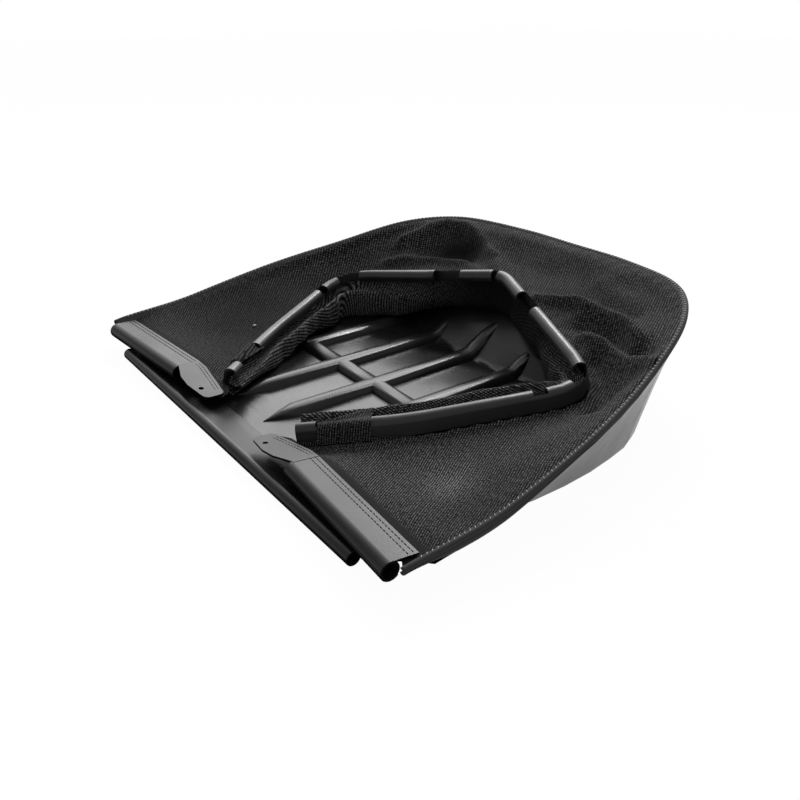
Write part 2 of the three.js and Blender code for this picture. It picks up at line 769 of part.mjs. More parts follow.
// Rear edge of a side clip's flange at a distance from the middle, and the height of its underside
const sideTilt = THREE.MathUtils.degToRad(sideClip.slope);
const flangeRear = (reach) => (
  sideClip.axisFront + sideClip.reach * Math.cos(sideTilt)
  + sideToe * (sideClip.outerEnd - Math.max(reach, sideClip.innerEnd))
);
const flangeUnderside = sideAxisHeight
  + (sideClip.od / 2 - sideClip.wall) * Math.cos(sideTilt) - sideClip.reach * Math.sin(sideTilt);

// The sheet's front edge runs under the side clip's flange and then back to the mouth clip's end
function frontEdge(points) {
  const height = flangeUnderside - mesh.thickness / 2 - seatGap * 2;
  const lastHem = hemThickness.length - 1;
  return points.map((point, k) => {
    const reach = Math.abs(point.x);
    const target = point.clone();
    const edge = flangeRear(reach) - mesh.clipOverlap;
    if (k <= lastHem) {
      target.y = k < lastHem ? sideClip.axisFront + mesh.cornerSetback : edge;
      return target;
    }
    const inside = THREE.MathUtils.smoothstep(reach, sideClip.innerEnd - 30, sideClip.innerEnd + 12);
    target.y = THREE.MathUtils.lerp(point.y, edge, inside);
    target.z = THREE.MathUtils.lerp(point.z, height, inside);
    return target;
  });
}

// Keeps the sheet below the side clips' flanges until it has come out behind them
function dipUnderSideClips(grid) {
  const ceiling = flangeUnderside - mesh.thickness / 2 - seatGap * 2;
  const columns = grid[0].length;
  for (const row of grid) {
    for (let k = hemThickness.length - 1; k < columns; k += 1) {
      const reach = Math.abs(row[k].x);
      const beside = reach > sideClip.innerEnd - 15 && reach < sideClip.outerEnd + mesh.hemWidth * 2;
      const behind = row[k].y - flangeRear(reach);
      if (beside && behind < 20) row[k].z = Math.min(row[k].z, ceiling + Math.max(behind - 5, 0) * 0.4);
    }
  }
}

function makeMeshBag() {
  const rows = 2 * meshStations + 1;
  const grid = [];
  for (let i = 0; i < rows; i += 1) grid.push(meshSection((mouthLength * i) / (rows - 1)));
  for (const [start, step] of [[0, 1], [rows - 1, -1]]) {
    const natural = grid[start];
    const edge = frontEdge(natural);
    const shifts = edge.map((point, k) => point.clone().sub(natural[k]));
    for (let i = start; i >= 0 && i < rows; i += step) {
      const along = (Math.abs(i - start) * mouthLength) / (rows - 1);
      const weight = 1 - THREE.MathUtils.smoothstep(along, mesh.frontBlend * 0.15, mesh.frontBlend);
      if (weight > 0) grid[i] = grid[i].map((point, k) => point.clone().addScaledVector(shifts[k], weight));
    }
  }
  dipUnderSideClips(grid);
  liftOffTray(grid);
  const thicknessAt = (k) => hemThickness[Math.min(k, hemThickness.length - 1)];
  return sheetBody(grid, thicknessAt);
}

const blackPlastic = { color: 0x1b1c1e, roughness: 0.36, metalness: 0 };
const blackMesh = { color: 0x161617, roughness: 0.9, metalness: 0 };

const bag = new THREE.Group();

function addPart(name, geometry, look) {
  geometry.computeVertexNormals();
  const part = new THREE.Mesh(geometry, new THREE.MeshStandardMaterial(look));
  part.name = name;
  bag.add(part);
  return part;
}

addPart('base_tray', trayGeometry, blackPlastic);
addPart('front_clip', makeFrontClip(), blackPlastic);
for (const [name, side] of [['side_clip_right', 1], ['side_clip_left', -1]]) {
  const geometry = makeSideClip();
  geometry.translate(-sideClip.outerEnd, 0, 0);
  geometry.rotateZ(-THREE.MathUtils.degToRad(sideClip.toeIn));
  geometry.translate(sideClip.outerEnd, sideClip.axisFront, sideAxisHeight);
  if (side < 0) mirrorAcrossX(geometry);
  addPart(name, geometry, blackPlastic);
}
addPart('mouth_clip', makeMouthClip(), blackPlastic);
addPart('mesh_bag', makeMeshBag(), blackMesh);

// Reflects a geometry to the other side and turns its faces out again
function mirrorAcrossX(geometry) {
  geometry.scale(-1, 1, 1);
  const index = geometry.index.array;
  for (let i = 0; i < index.length; i += 3) [index[i], index[i + 1]] = [index[i + 1], index[i]];
  geometry.computeVertexNormals();
}

// The origin is the middle of the part's footprint on the ground
const box = new THREE.Box3().setFromObject(bag);
bag.position.set(-(box.min.x + box.max.x) / 2, -(box.min.y + box.max.y) / 2, -box.min.z);

export default bag;
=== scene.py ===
"""Grass collection bag of a lawn mower, folded flat: finishes, stitching and studio."""
import math

import bpy
import numpy as np
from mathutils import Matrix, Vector
from mathutils.bvhtree import BVHTree


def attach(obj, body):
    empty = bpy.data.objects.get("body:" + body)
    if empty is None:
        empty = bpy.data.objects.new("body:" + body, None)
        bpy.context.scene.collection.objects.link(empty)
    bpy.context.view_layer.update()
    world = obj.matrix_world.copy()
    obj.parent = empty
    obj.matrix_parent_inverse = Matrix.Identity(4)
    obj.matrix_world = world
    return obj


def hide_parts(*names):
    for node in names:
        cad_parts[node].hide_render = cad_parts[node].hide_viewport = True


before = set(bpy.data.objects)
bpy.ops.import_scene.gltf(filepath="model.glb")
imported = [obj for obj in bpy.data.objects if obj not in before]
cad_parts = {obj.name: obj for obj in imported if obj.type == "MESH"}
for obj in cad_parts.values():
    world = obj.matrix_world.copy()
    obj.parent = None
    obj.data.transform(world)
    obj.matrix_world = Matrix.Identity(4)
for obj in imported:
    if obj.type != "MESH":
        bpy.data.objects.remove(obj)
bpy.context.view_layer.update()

CAMERA_PLACE = (0.54476, -0.42261, 0.32811)
CAMERA_TURN = (math.radians(62.85), 0, math.radians(53.42))
CAMERA_LENS = 36.12


# Materials

def new_material(name):
    material = bpy.data.materials.new(name)
    material.use_nodes = True
    tree = material.node_tree
    tree.nodes.clear()
    output = tree.nodes.new("ShaderNodeOutputMaterial")
    shader = tree.nodes.new("ShaderNodeBsdfPrincipled")
    tree.links.new(shader.outputs["BSDF"], output.inputs["Surface"])
    return material, tree, shader


def noise(tree, source, scale, detail=3.0, rough=0.55):
    node = tree.nodes.new("ShaderNodeTexNoise")
    node.inputs["Scale"].default_value = scale
    node.inputs["Detail"].default_value = detail
    node.inputs["Roughness"].default_value = rough
    tree.links.new(source, node.inputs["Vector"])
    return node.outputs["Fac"]


def ramp(tree, source, low, high, start=0.0, end=1.0):
    node = tree.nodes.new("ShaderNodeMapRange")
    node.inputs["From Min"].default_value = start
    node.inputs["From Max"].default_value = end
    node.inputs["To Min"].default_value = low
    node.inputs["To Max"].default_value = high
    tree.links.new(source, node.inputs["Value"])
    return node.outputs["Result"]


def blend_colours(tree, share, first, second):
    node = tree.nodes.new("ShaderNodeMix")
    node.data_type = "RGBA"
    tree.links.new(share, node.inputs["Factor"])
    for slot, value in (("A", first), ("B", second)):
        socket = [s for s in node.inputs if s.name == slot and s.type == "RGBA"][0]
        if isinstance(value, tuple):
            socket.default_value = (*value, 1)
        else:
            tree.links.new(value, socket)
    return [s for s in node.outputs if s.type == "RGBA"][0]


def maths(tree, operation, first, second=None, third=None):
    node = tree.nodes.new("ShaderNodeMath")
    node.operation = operation
    for socket, value in zip(node.inputs, (first, second, third)):
        if value is None:
            continue
        if isinstance(value, (int, float)):
            socket.default_value = value
        else:
            tree.links.new(value, socket)
    return node.outputs[0]


def bump(tree, shader, height, distance, strength, before=None):
    node = tree.nodes.new("ShaderNodeBump")
    node.inputs["Distance"].default_value = distance
    node.inputs["Strength"].default_value = strength
    tree.links.new(height, node.inputs["Height"])
    if before is not None:
        tree.links.new(before, node.inputs["Normal"])
    tree.links.new(node.outputs["Normal"], shader.inputs["Normal"])
    return node.outputs["Normal"]


def satin_plastic(
    name, colour, worn, roughness, grain, upper, underside, facing_from=-0.35, facing_to=0.05
):
    """Moulded plastic with faint dust and fine grain.

    Its gloss level goes from underside to upper as a face turns from facing_from to facing_to.
    """
    material, tree, shader = new_material(name)
    place = tree.nodes.new("ShaderNodeTexCoord").outputs["Object"]
    broad = noise(tree, place, 14, 4)
    fine = noise(tree, place, 1400, 2)
    dust = ramp(tree, broad, 0, 1, 0.42, 0.72)
    tree.links.new(blend_colours(tree, dust, colour, worn), shader.inputs["Base Color"])
    dullness = ramp(tree, broad, roughness - 0.04, roughness + 0.07, 0.3, 0.7)
    tree.links.new(dullness, shader.inputs["Roughness"])
    shader.inputs["IOR"].default_value = 1.5
    facing = tree.nodes.new("ShaderNodeSeparateXYZ")
    tree.links.new(tree.nodes.new("ShaderNodeNewGeometry").outputs["True Normal"], facing.inputs[0])
    level = ramp(tree, facing.outputs["Z"], underside, upper, facing_from, facing_to)
    tree.links.new(level, shader.inputs["Specular IOR Level"])
    bump(tree, shader, fine, 0.0002, grain)
    return material


def node_of(tree, kind, **settings):
    node = tree.nodes.new(kind)
    for name, value in settings.items():
        setattr(node, name, value)
    return node


def wave(tree, value, pitch, phase=None):
    """Share from 0 to 1 that rises and falls once per pitch."""
    turns = maths(tree, "MULTIPLY", value, 2 * math.pi / pitch)
    if phase is not None:
        turns = maths(tree, "ADD", turns, phase)
    return maths(tree, "MULTIPLY_ADD", maths(tree, "COSINE", turns), 0.5, 0.5)


def knit_mesh(name, thread, gap, roughness):
    """Open knit: wales that run along the weave map, crossed by rows of loops."""
    material, tree, shader = new_material(name)
    mapped = node_of(tree, "ShaderNodeUVMap", uv_map="weave").outputs["UV"]
    spread = node_of(tree, "ShaderNodeSeparateXYZ")
    tree.links.new(mapped, spread.inputs[0])
    drift = noise(tree, mapped, 16, 2)
    across = maths(tree, "MULTIPLY_ADD", drift, 0.0045, spread.outputs["X"])
    along = maths(tree, "MULTIPLY_ADD", drift, 0.004, spread.outputs["Y"])
    wale = wave(tree, across, WALE_PITCH)
    lean = maths(tree, "MULTIPLY", across, math.pi / WALE_PITCH)
    loop = wave(tree, along, LOOP_PITCH, lean)
    weave = maths(tree, "MULTIPLY", wale, maths(tree, "MULTIPLY_ADD", loop, 0.75, 0.25))
    weave = maths(tree, "POWER", weave, 1.4)
    weave = maths(tree, "MULTIPLY", weave, ramp(tree, noise(tree, mapped, 620, 1), 0.05, 2.7, 0.34, 0.66))
    worn = ramp(tree, noise(tree, mapped, 9, 3), 0.75, 1.25, 0.3, 0.7)
    # Lightness from the painted_light attribute: painted sheen and painted shade on the knit
    painted_light = node_of(tree, "ShaderNodeAttribute", attribute_name="painted_light").outputs["Fac"]
    weave = maths(tree, "MULTIPLY", maths(tree, "MULTIPLY", weave, worn), painted_light)
    knit = blend_colours(tree, weave, gap, thread)
    bound = node_of(tree, "ShaderNodeAttribute", attribute_name="bound").outputs["Fac"]
    tree.links.new(blend_colours(tree, bound, knit, BINDING), shader.inputs["Base Color"])
    weave = maths(tree, "MULTIPLY", weave, maths(tree, "SUBTRACT", 1, bound))
    shader.inputs["Roughness"].default_value = roughness
    shader.inputs["Specular IOR Level"].default_value = 0.06
    shader.inputs["Sheen Weight"].default_value = 0.015
    shader.inputs["Sheen Roughness"].default_value = 0.5
    bump(tree, shader, weave, 0.0006, 0.5)
    return material


def plain_thread(name, colour, roughness):
    material, tree, shader = new_material(name)
    place = tree.nodes.new("ShaderNodeTexCoord").outputs["Object"]
    twist = noise(tree, place, 2600, 2)
    darker = tuple(c * 0.55 for c in colour)
    tree.links.new(blend_colours(tree, twist, darker, colour), shader.inputs["Base Color"])
    shader.inputs["Roughness"].default_value = roughness
    return material


# Colour of the bound edges, and the knit's pitch across and along its wales in metres
BINDING = (0.016, 0.016, 0.0165)
WALE_PITCH = 0.0021
LOOP_PITCH = 0.0016

tray_look = satin_plastic(
    "tray_plastic", colour=(0.005, 0.0051, 0.0056), worn=(0.013, 0.013, 0.0137),
    roughness=0.26, grain=0.12, upper=0.34, underside=1.0,
)
clip_look = satin_plastic(
    "clip_plastic", colour=(0.003, 0.0031, 0.0034), worn=(0.008, 0.008, 0.0085),
    roughness=0.33, grain=0.16, upper=0.33, underside=0.0, facing_from=0.1, facing_to=0.85,
)
strip_look = satin_plastic(
    "strip_plastic", colour=(0.009, 0.0092, 0.01), worn=(0.02, 0.02, 0.021),
    roughness=0.33, grain=0.16, upper=0.44, underside=0.4,
)
mesh_look = knit_mesh(
    "black_knit", thread=(0.24, 0.235, 0.237), gap=(0.0012, 0.0012, 0.0013), roughness=0.8
)
hem_look = plain_thread("black_binding", BINDING, 0.8)
zigzag_look = plain_thread("grey_thread", (0.42, 0.415, 0.41), 0.7)
seam_look = plain_thread("black_thread", (0.012, 0.012, 0.013), 0.6)
lint_look = plain_thread("white_lint", (0.75, 0.75, 0.73), 0.9)

looks = {
    "base_tray": (tray_look, "tray"),
    "front_clip": (clip_look, "clip"),
    "side_clip_right": (clip_look, "clip"),
    "side_clip_left": (clip_look, "clip"),
    "mouth_clip": (strip_look, "clip"),
}


SHARP_ANGLE = 38
EDGE_RADIUS = 0.0004
WELD_DISTANCE = 0.00002


def smooth_node(node, angle):
    """Shades a carried-over solid smooth between faces that meet at less than the angle."""
    mesh = node.data
    if "custom_normal" in mesh.attributes:
        mesh.attributes.remove(mesh.attributes["custom_normal"])
    mesh.polygons.foreach_set("use_smooth", [True] * len(mesh.polygons))
    weld = node.modifiers.new("weld", "WELD")
    weld.merge_threshold = WELD_DISTANCE
    bevel = node.modifiers.new("soft_edges", "BEVEL")
    bevel.width = EDGE_RADIUS
    bevel.segments = 2
    bevel.limit_method = "ANGLE"
    bevel.angle_limit = math.radians(angle)
    weighted = node.modifiers.new("even_shading", "WEIGHTED_NORMAL")
    weighted.keep_sharp = True


for node_name, (look, slot) in looks.items():
    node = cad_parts[node_name]
    node.data.materials.clear()
    node.data.materials.append(look)
    smooth_node(node, SHARP_ANGLE)


# Places in millimetres: across from the middle, back from the front clip's axis and up from the ground

FRONT_SHIFT = 203.5136
# Right half of the rim as shares of its half width, length and height
RIM = ((0.993, 0.07, 0.205), (1, 0.18, 0.3), (0.96, 0.44, 0.565), (0.887, 0.625, 0.745),
       (0.766, 0.815, 0.965), (0.6, 0.925, 1.035), (0.3, 0.988, 1.015), (0, 1, 1))
RIM_SIZE = (248, 412, 86)
# Corners of the strip round the mouth: place, tilt from side to side and how far the bend reaches
MOUTH_CORNERS = (
    ((58, 42, 23), -4, 0),
    ((114, 107, 28.5), 8, 26),
    ((184, 241, 47), 8, 42),
    ((0, 311, 78), 0, 14),
)
CLIP_OD = 12.5
CLIP_WALL = 1.7
CLIP_FLANGE = 10
CLIP_LEAN = math.radians(8)
SHEET = 1.5
HEM = 5.4
HEM_WIDTH = 4.5
SEAT_GAP = 0.3
BEND_STEPS = 24
# The cloth rounds the corners more softly than the strip, over this length to each side
SOFTEN_REACH = 30
SOFTEN_STEPS = 8


def arch(rows, size):
    """Right half of an outline with its mirror image, in millimetres."""
    right = np.array(rows, float) * size
    return np.vstack([right, right[-2::-1] * (-1, 1, 1)])


def on_spline(points, share):
    """Point on a centripetal spline through the points; share counts the points evenly."""
    last = len(points) - 1
    place = min(max(share, 0), 1) * last
    i = min(int(place), last - 1)
    step = place - i
    first, second = points[i], points[i + 1]
    before = points[i - 1] if i > 0 else 2 * points[0] - points[1]
    after = points[i + 2] if i + 2 <= last else 2 * points[last] - points[last - 1]
    gaps = [np.linalg.norm(b - a) ** 0.5 for a, b in ((before, first), (first, second), (second, after))]
    start = (first - before) / gaps[0] - (second - before) / (gaps[0] + gaps[1]) + (second - first) / gaps[1]
    end = (second - first) / gaps[1] - (after - first) / (gaps[1] + gaps[2]) + (after - second) / gaps[2]
    start, end = start * gaps[1], end * gaps[1]
    return (first + start * step
            + (3 * (second - first) - 2 * start - end) * step ** 2
            + (2 * (first - second) + start + end) * step ** 3)


def mouth_line():
    """Axis of the clip strip round the mouth as closely spaced points, with the distance of each."""
    right = [np.array((x, y, z + tilt / 2)) for (x, y, z), tilt, _ in MOUTH_CORNERS]
    left = [np.array((-x, y, z - tilt / 2)) for (x, y, z), tilt, _ in MOUTH_CORNERS[:-1]]
    corners = right + left[::-1]
    bends = [bend for _, _, bend in MOUTH_CORNERS]
    bends = bends + bends[-2::-1]
    points = [corners[0]]
    for i in range(1, len(corners) - 1):
        back = (corners[i] - corners[i - 1]) / np.linalg.norm(corners[i] - corners[i - 1])
        ahead = (corners[i + 1] - corners[i]) / np.linalg.norm(corners[i + 1] - corners[i])
        start, end = corners[i] - back * bends[i], corners[i] + ahead * bends[i]
        for step in np.linspace(0, 1, BEND_STEPS):
            points.append((1 - step) ** 2 * start + 2 * step * (1 - step) * corners[i] + step ** 2 * end)
    points.append(corners[-1])
    points = np.array(points)
    distances = np.concatenate([[0], np.cumsum(np.linalg.norm(np.diff(points, axis=0), axis=1))])
    return points, distances


rim_points = arch(RIM, RIM_SIZE)
mouth_points, mouth_distances = mouth_line()
mouth_length = mouth_distances[-1]


def mouth_point(distance):
    """Place on the axis of the clip strip at a distance along it."""
    return np.array([np.interp(distance, mouth_distances, mouth_points[:, k]) for k in range(3)])


def mouth_frame(distance):
    """Centre, outward and rising direction of the clip strip at a distance along it."""
    distance = min(max(distance, 0), mouth_length)
    centre = mouth_point(distance)
    low, high = max(distance - 0.5, 0), min(distance + 0.5, mouth_length)
    ahead = mouth_point(high) - mouth_point(low)
    ahead /= np.linalg.norm(ahead)
    outward = np.array((ahead[1], -ahead[0], 0))
    outward /= np.linalg.norm(outward)
    rise = np.cross(outward, ahead)
    rise *= math.copysign(1, rise[2]) / np.linalg.norm(rise)
    return centre, outward, rise


def soft_outward(distance):
    """Outward direction of the strip, averaged along it with falling weights."""
    total = np.zeros(3)
    for i in range(-SOFTEN_STEPS, SOFTEN_STEPS + 1):
        weight = 1 - abs(i) / (SOFTEN_STEPS + 1)
        total += weight * mouth_frame(distance + i * SOFTEN_REACH / SOFTEN_STEPS)[1]
    return total / np.linalg.norm(total)


def smooth_share(value, low, high):
    """Share from 0 at low to 1 at high, with soft ends."""
    share = min(max((value - low) / (high - low), 0), 1)
    return share * share * (3 - 2 * share)


# Mesh sheet: where it is sewn to the strip, from the strip's axis (outward, up)

SEAM_FOOT = (
    math.cos(CLIP_LEAN) * CLIP_OD / 2 + math.sin(CLIP_LEAN) * CLIP_FLANGE + SHEET,
    math.sin(CLIP_LEAN) * CLIP_OD / 2 - math.cos(CLIP_LEAN) * CLIP_FLANGE - SHEET * 1.35,
)
SEAM_INSIDE = (CLIP_OD / 2 - CLIP_WALL - SHEET * 0.6, SEAM_FOOT[1] + SHEET * 3.4)
# Cloth tucked under the strip, by station from the front end to the crown
TUCKS = (
    (0, ((1, -30), (-5, -30), (-9, -30), (-9, -10), (-3, -11))),
    (54, ((0, -30), (-12, -30), (-18, -30), (-16, -3), (-6, -9.5))),
    (106, ((0, -40), (-13, -40), (-20, -40), (-18, -1), (-7, -9.5))),
    (172, ((2, -27), (-5, -60), (-18, -60), (-18, -4), (-6, -13))),
    (220, ((6, -26), (2, -60), (-12, -60), (-14, -12), (-2, -13.5))),
    (308, ((11, -24), (15, -60), (5, -60), (-3, -26), (1, -14))),
    (393, ((9, -26), (12, -60), (3, -60), (-1, -30), (1.5, -15))),
)
CROWN_STATION = 393
# Least height of each sewn or tucked point over the tray
LAYER_LIFT = (1.9, 1.8, 1.8, 3.2, 6, 5, 5)
# The slack on the right bulges inward over the hook: toe on the floor, top and underside of the roll
RIGHT_SLACK = ((-23, -30), (-20.5, 3.5), (-9.5, -8))
SLACK_ENDS = (165, 250)
# Place round the rim that each station of the mouth is joined to
RIM_MATCH = ((0, 0.24), (54, 1.15), (106, 1.6), (172, 2.2), (220, 3.3), (308, 5.3), (393, 7))
# Points of the panel as shares of the way from the hem to the strip
PANEL_SHARES = (0.08, 0.17, 0.27, 0.38, 0.49, 0.6, 0.71, 0.82, 0.92)
PANEL_SAG = 5
# The hem: how far it stands outside the rim, its middle points and its height over the rim
HEM_OUTSIDE = 0.15
HEM_STEPS = (0.35, 0.75)
HEM_HEIGHT = SEAT_GAP * 4.4 + HEM / 2
HEM_LAST = len(HEM_STEPS) + 1
# Fold lines as shares of the tray's half width and length, with rise and half width
FOLDS = (
    (((-0.68, 0.76), (-0.65, 0.84), (-0.6, 0.88), (-0.5, 0.905), (-0.38, 0.885), (-0.24, 0.855),
      (-0.1, 0.8)), 8, 10),
    (((-0.56, 0.8), (-0.38, 0.845)), -9, 15),
    (((-0.66, 0.7), (-0.56, 0.75), (-0.47, 0.79), (-0.32, 0.805), (-0.2, 0.79)), 5, 8),
    (((0.16, 0.77), (0.33, 0.8), (0.47, 0.79), (0.57, 0.78), (0.68, 0.74)), 9, 8),
    (((0.49, 0.715), (0.6, 0.707), (0.74, 0.673), (0.84, 0.66)), 9, 8),
    (((0.61, 0.665), (0.69, 0.635), (0.77, 0.6), (0.81, 0.53)), -9, 10),
    (((0.3, 0.89), (0.49, 0.865), (0.67, 0.785), (0.75, 0.735)), 3, 10),
    (((0.42, 0.835), (0.57, 0.812)), -3, 9),
    (((0.42, 0.75), (0.6, 0.745), (0.74, 0.71)), -8, 10),
    (((0.86, 0.6), (0.83, 0.45), (0.86, 0.32)), 3, 14),
)
# Sharper creases along the tops of the folds
CREASES = (
    (((-0.68, 0.76), (-0.65, 0.84), (-0.6, 0.88), (-0.5, 0.905), (-0.38, 0.885), (-0.24, 0.855)), 3.6, 4),
    (((-0.66, 0.7), (-0.56, 0.75), (-0.47, 0.79), (-0.32, 0.805)), 2, 4),
    (((0.2, 0.775), (0.33, 0.8), (0.47, 0.79), (0.57, 0.78), (0.66, 0.75)), 3.4, 3.6),
    (((0.52, 0.712), (0.6, 0.707), (0.74, 0.673), (0.82, 0.66)), 3.4, 3.6),
    (((0.66, 0.6), (0.74, 0.57), (0.86, 0.57)), 1.8, 4),
)


def rise_along(lines, x, y):
    """Height that the fold lines add at places in plan."""
    total = np.zeros(x.shape)
    for line, rise, width in lines:
        points = np.array(line) * (RIM_SIZE[0], RIM_SIZE[1])
        nearest = np.full(x.shape, np.inf)
        for a, b in zip(points, points[1:]):
            share = np.clip(((x - a[0]) * (b - a)[0] + (y - a[1]) * (b - a)[1]) / np.dot(b - a, b - a), 0, 1)
            away = np.hypot(x - a[0] - share * (b - a)[0], y - a[1] - share * (b - a)[1])
            nearest = np.minimum(nearest, away)
        total += rise * np.exp(-(nearest / width) ** 2)
    return total


def between(rows, at):
    """Rows before and after a station, and the share of the way between them."""
    for low, high in zip(rows, rows[1:]):
        if at <= high[0] or high is rows[-1]:
            return low, high, min(max((at - low[0]) / (high[0] - low[0]), 0), 1)


def mesh_section(distance):
    """Points of the sheet from the hem over the panel to the tucked end, at a distance along the strip."""
    half = mouth_length / 2
    along = (half - abs(distance - half)) * CROWN_STATION / half
    centre, seam_outward, _ = mouth_frame(distance)
    outward = soft_outward(distance)
    low, high, share = between(RIM_MATCH, along)
    rim_share = (low[1] + (high[1] - low[1]) * share) / (2 * (len(RIM) - 1))
    rim = on_spline(rim_points, rim_share if distance <= half else 1 - rim_share)
    low, high, share = between(TUCKS, along)
    low, high = [np.array((SEAM_FOOT, *row[1], SEAM_INSIDE)) for row in (low, high)]
    tuck = low + (high - low) * share
    if distance <= half:
        slack = 1 - smooth_share(along, *SLACK_ENDS)
        tuck[3:6] += (np.array(RIGHT_SLACK) - tuck[3:6]) * slack
    places = []
    for i, (out, over) in enumerate(tuck):
        place = centre + (seam_outward if i in (0, len(tuck) - 1) else outward) * out
        place[2] = centre[2] + over
        places.append(place)
    inward = places[0] - rim
    inward[2] = 0
    inward /= np.linalg.norm(inward)
    hem = rim - inward * HEM_WIDTH * HEM_OUTSIDE
    hem[2] += HEM_HEIGHT
    hem_end = hem + inward * HEM_WIDTH
    points = [hem, *(hem + inward * HEM_WIDTH * share for share in HEM_STEPS), hem_end]
    for share in PANEL_SHARES:
        point = hem_end + (places[0] - hem_end) * share
        free = math.sin(math.pi * share)
        point[2] -= PANEL_SAG * free
        points.append(point)
    return np.array(points + places)


# Side clips: axis, flange and hook
SIDE_AXIS_HEIGHT = 18.2536
SIDE_OUTER, SIDE_INNER, SIDE_FRONT, SIDE_REACH = 236.5, 102, 2.5, 20
SIDE_SLOPE = math.radians(4)
SIDE_TOE = math.tan(math.radians(4.4))
SIDE_OD, SIDE_WALL = 14.6, 1.8
FLANGE_UNDER = (
    SIDE_AXIS_HEIGHT + (SIDE_OD / 2 - SIDE_WALL) * math.cos(SIDE_SLOPE)
    - SIDE_REACH * math.sin(SIDE_SLOPE)
)
# The sheet is sewn under the flange: its height, how far from the flange's rear edge, and where it starts
SEWN_HEIGHT = FLANGE_UNDER - SHEET / 2 - SEAT_GAP * 2
SEWN_INSET = 8
SEWN_FROM, SEWN_FULL = SIDE_INNER - 30, SIDE_INNER + 12
HEM_FRONT, PANEL_FRONT = 1.5, 4.5


def flange_rear(reach):
    """Rear edge of a side clip's flange at a reach from the middle."""
    return SIDE_FRONT + SIDE_REACH * math.cos(SIDE_SLOPE) + SIDE_TOE * (SIDE_OUTER - max(reach, SIDE_INNER))


def front_edge(points):
    """First or last section of the sheet, moved to where the side clip holds it."""
    moved = points.copy()
    for k, point in enumerate(points):
        reach = abs(point[0])
        edge = flange_rear(reach) - SEWN_INSET
        if k <= HEM_LAST:
            moved[k, 1] = SIDE_FRONT + (HEM_FRONT if k < HEM_LAST else PANEL_FRONT)
            continue
        inside = smooth_share(reach, SEWN_FROM, SEWN_FULL)
        moved[k, 1] += (edge - point[1]) * inside
        moved[k, 2] += (SEWN_HEIGHT - point[2]) * inside
    return moved


tray_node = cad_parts["base_tray"]
tray_tree = BVHTree.FromPolygons(
    [tray_node.matrix_world @ v.co for v in tray_node.data.vertices],
    [tuple(p.vertices) for p in tray_node.data.polygons],
)


RAY_FROM = 0.5


def tray_height(x, y):
    """Height of the tray at a place in millimetres, or None beside the tray."""
    spot = Vector((x / 1000, (y - FRONT_SHIFT) / 1000, RAY_FROM))
    hit = tray_tree.ray_cast(spot, Vector((0, 0, -1)))
    return None if hit[0] is None else hit[0].z * 1000


def tray_below(x, y, reach):
    """Highest point of the tray round a place, in millimetres."""
    height = 0
    for dx, dy in ((0, 0), (1, 0), (-1, 0), (0, 1), (0, -1)):
        found = tray_height(x + dx * reach, y + dy * reach)
        if found is not None:
            height = max(height, found)
    return height


COARSE_ROWS = 93
# The move of the front edge fades out between these distances along the strip
MOVE_FROM, MOVE_TO = 9, 60
# Under and just behind the flange the cloth stays below it, then may rise
BELOW_INNER, BELOW_OUTER, BELOW_BEHIND = SIDE_INNER - 15, SIDE_OUTER + HEM_WIDTH * 2, 20
RISE_BEHIND, RISE_SLOPE = 5, 0.4
# Clearance over the tray, and how far round a point the tray is felt
PANEL_LIFT = SHEET * 1.6
PANEL_FEEL, TUCK_FEEL = 3, 4.5


def coarse_grid():
    """Sections of the sheet round the mouth, held by the side clips and clear of the tray."""
    rows = COARSE_ROWS
    grid = np.array([mesh_section(mouth_length * i / (rows - 1)) for i in range(rows)])
    for start, step in ((0, 1), (rows - 1, -1)):
        shifts = front_edge(grid[start]) - grid[start]
        for count in range(rows):
            weight = 1 - smooth_share(count * mouth_length / (rows - 1), MOVE_FROM, MOVE_TO)
            if weight <= 0:
                break
            grid[start + step * count] += shifts * weight
    columns = grid.shape[1]
    for row in grid:
        for k in range(HEM_LAST, columns):
            reach = abs(row[k, 0])
            behind = row[k, 1] - flange_rear(reach)
            if BELOW_INNER < reach < BELOW_OUTER and behind < BELOW_BEHIND:
                row[k, 2] = min(row[k, 2], SEWN_HEIGHT + max(behind - RISE_BEHIND, 0) * RISE_SLOPE)
    tucks = columns - len(LAYER_LIFT)
    for k in range(HEM_LAST + 1, columns):
        clear = PANEL_LIFT if k < tucks else LAYER_LIFT[k - tucks]
        reach = PANEL_FEEL if k < tucks else TUCK_FEEL
        floor = np.array([tray_below(row[k, 0], row[k, 1], reach) + clear for row in grid])
        if k < tucks:
            grid[:, k, 2] = np.maximum(grid[:, k, 2], floor)
            continue
        wide = np.array([floor[max(i - 2, 0):i + 3].max() for i in range(rows)])
        soft = np.array([wide[max(i - 1, 0):i + 2].mean() for i in range(rows)])
        grid[:, k, 2] = np.maximum(np.maximum(grid[:, k, 2], floor), soft)
    return grid


def refined(grid, times):
    """Grid with more rows, each new one on a smooth curve through its neighbours."""
    ends = np.concatenate([[2 * grid[0] - grid[1]], grid, [2 * grid[-1] - grid[-2]]])
    rows = []
    for i in range(len(grid) - 1):
        a, b, c, d = ends[i:i + 4]
        for step in np.arange(times) / times:
            rows.append(0.5 * (2 * b + (c - a) * step + (2 * a - 5 * b + 4 * c - d) * step ** 2
                               + (3 * b - a - 3 * c + d) * step ** 3))
    rows.append(grid[-1])
    return np.array(rows)


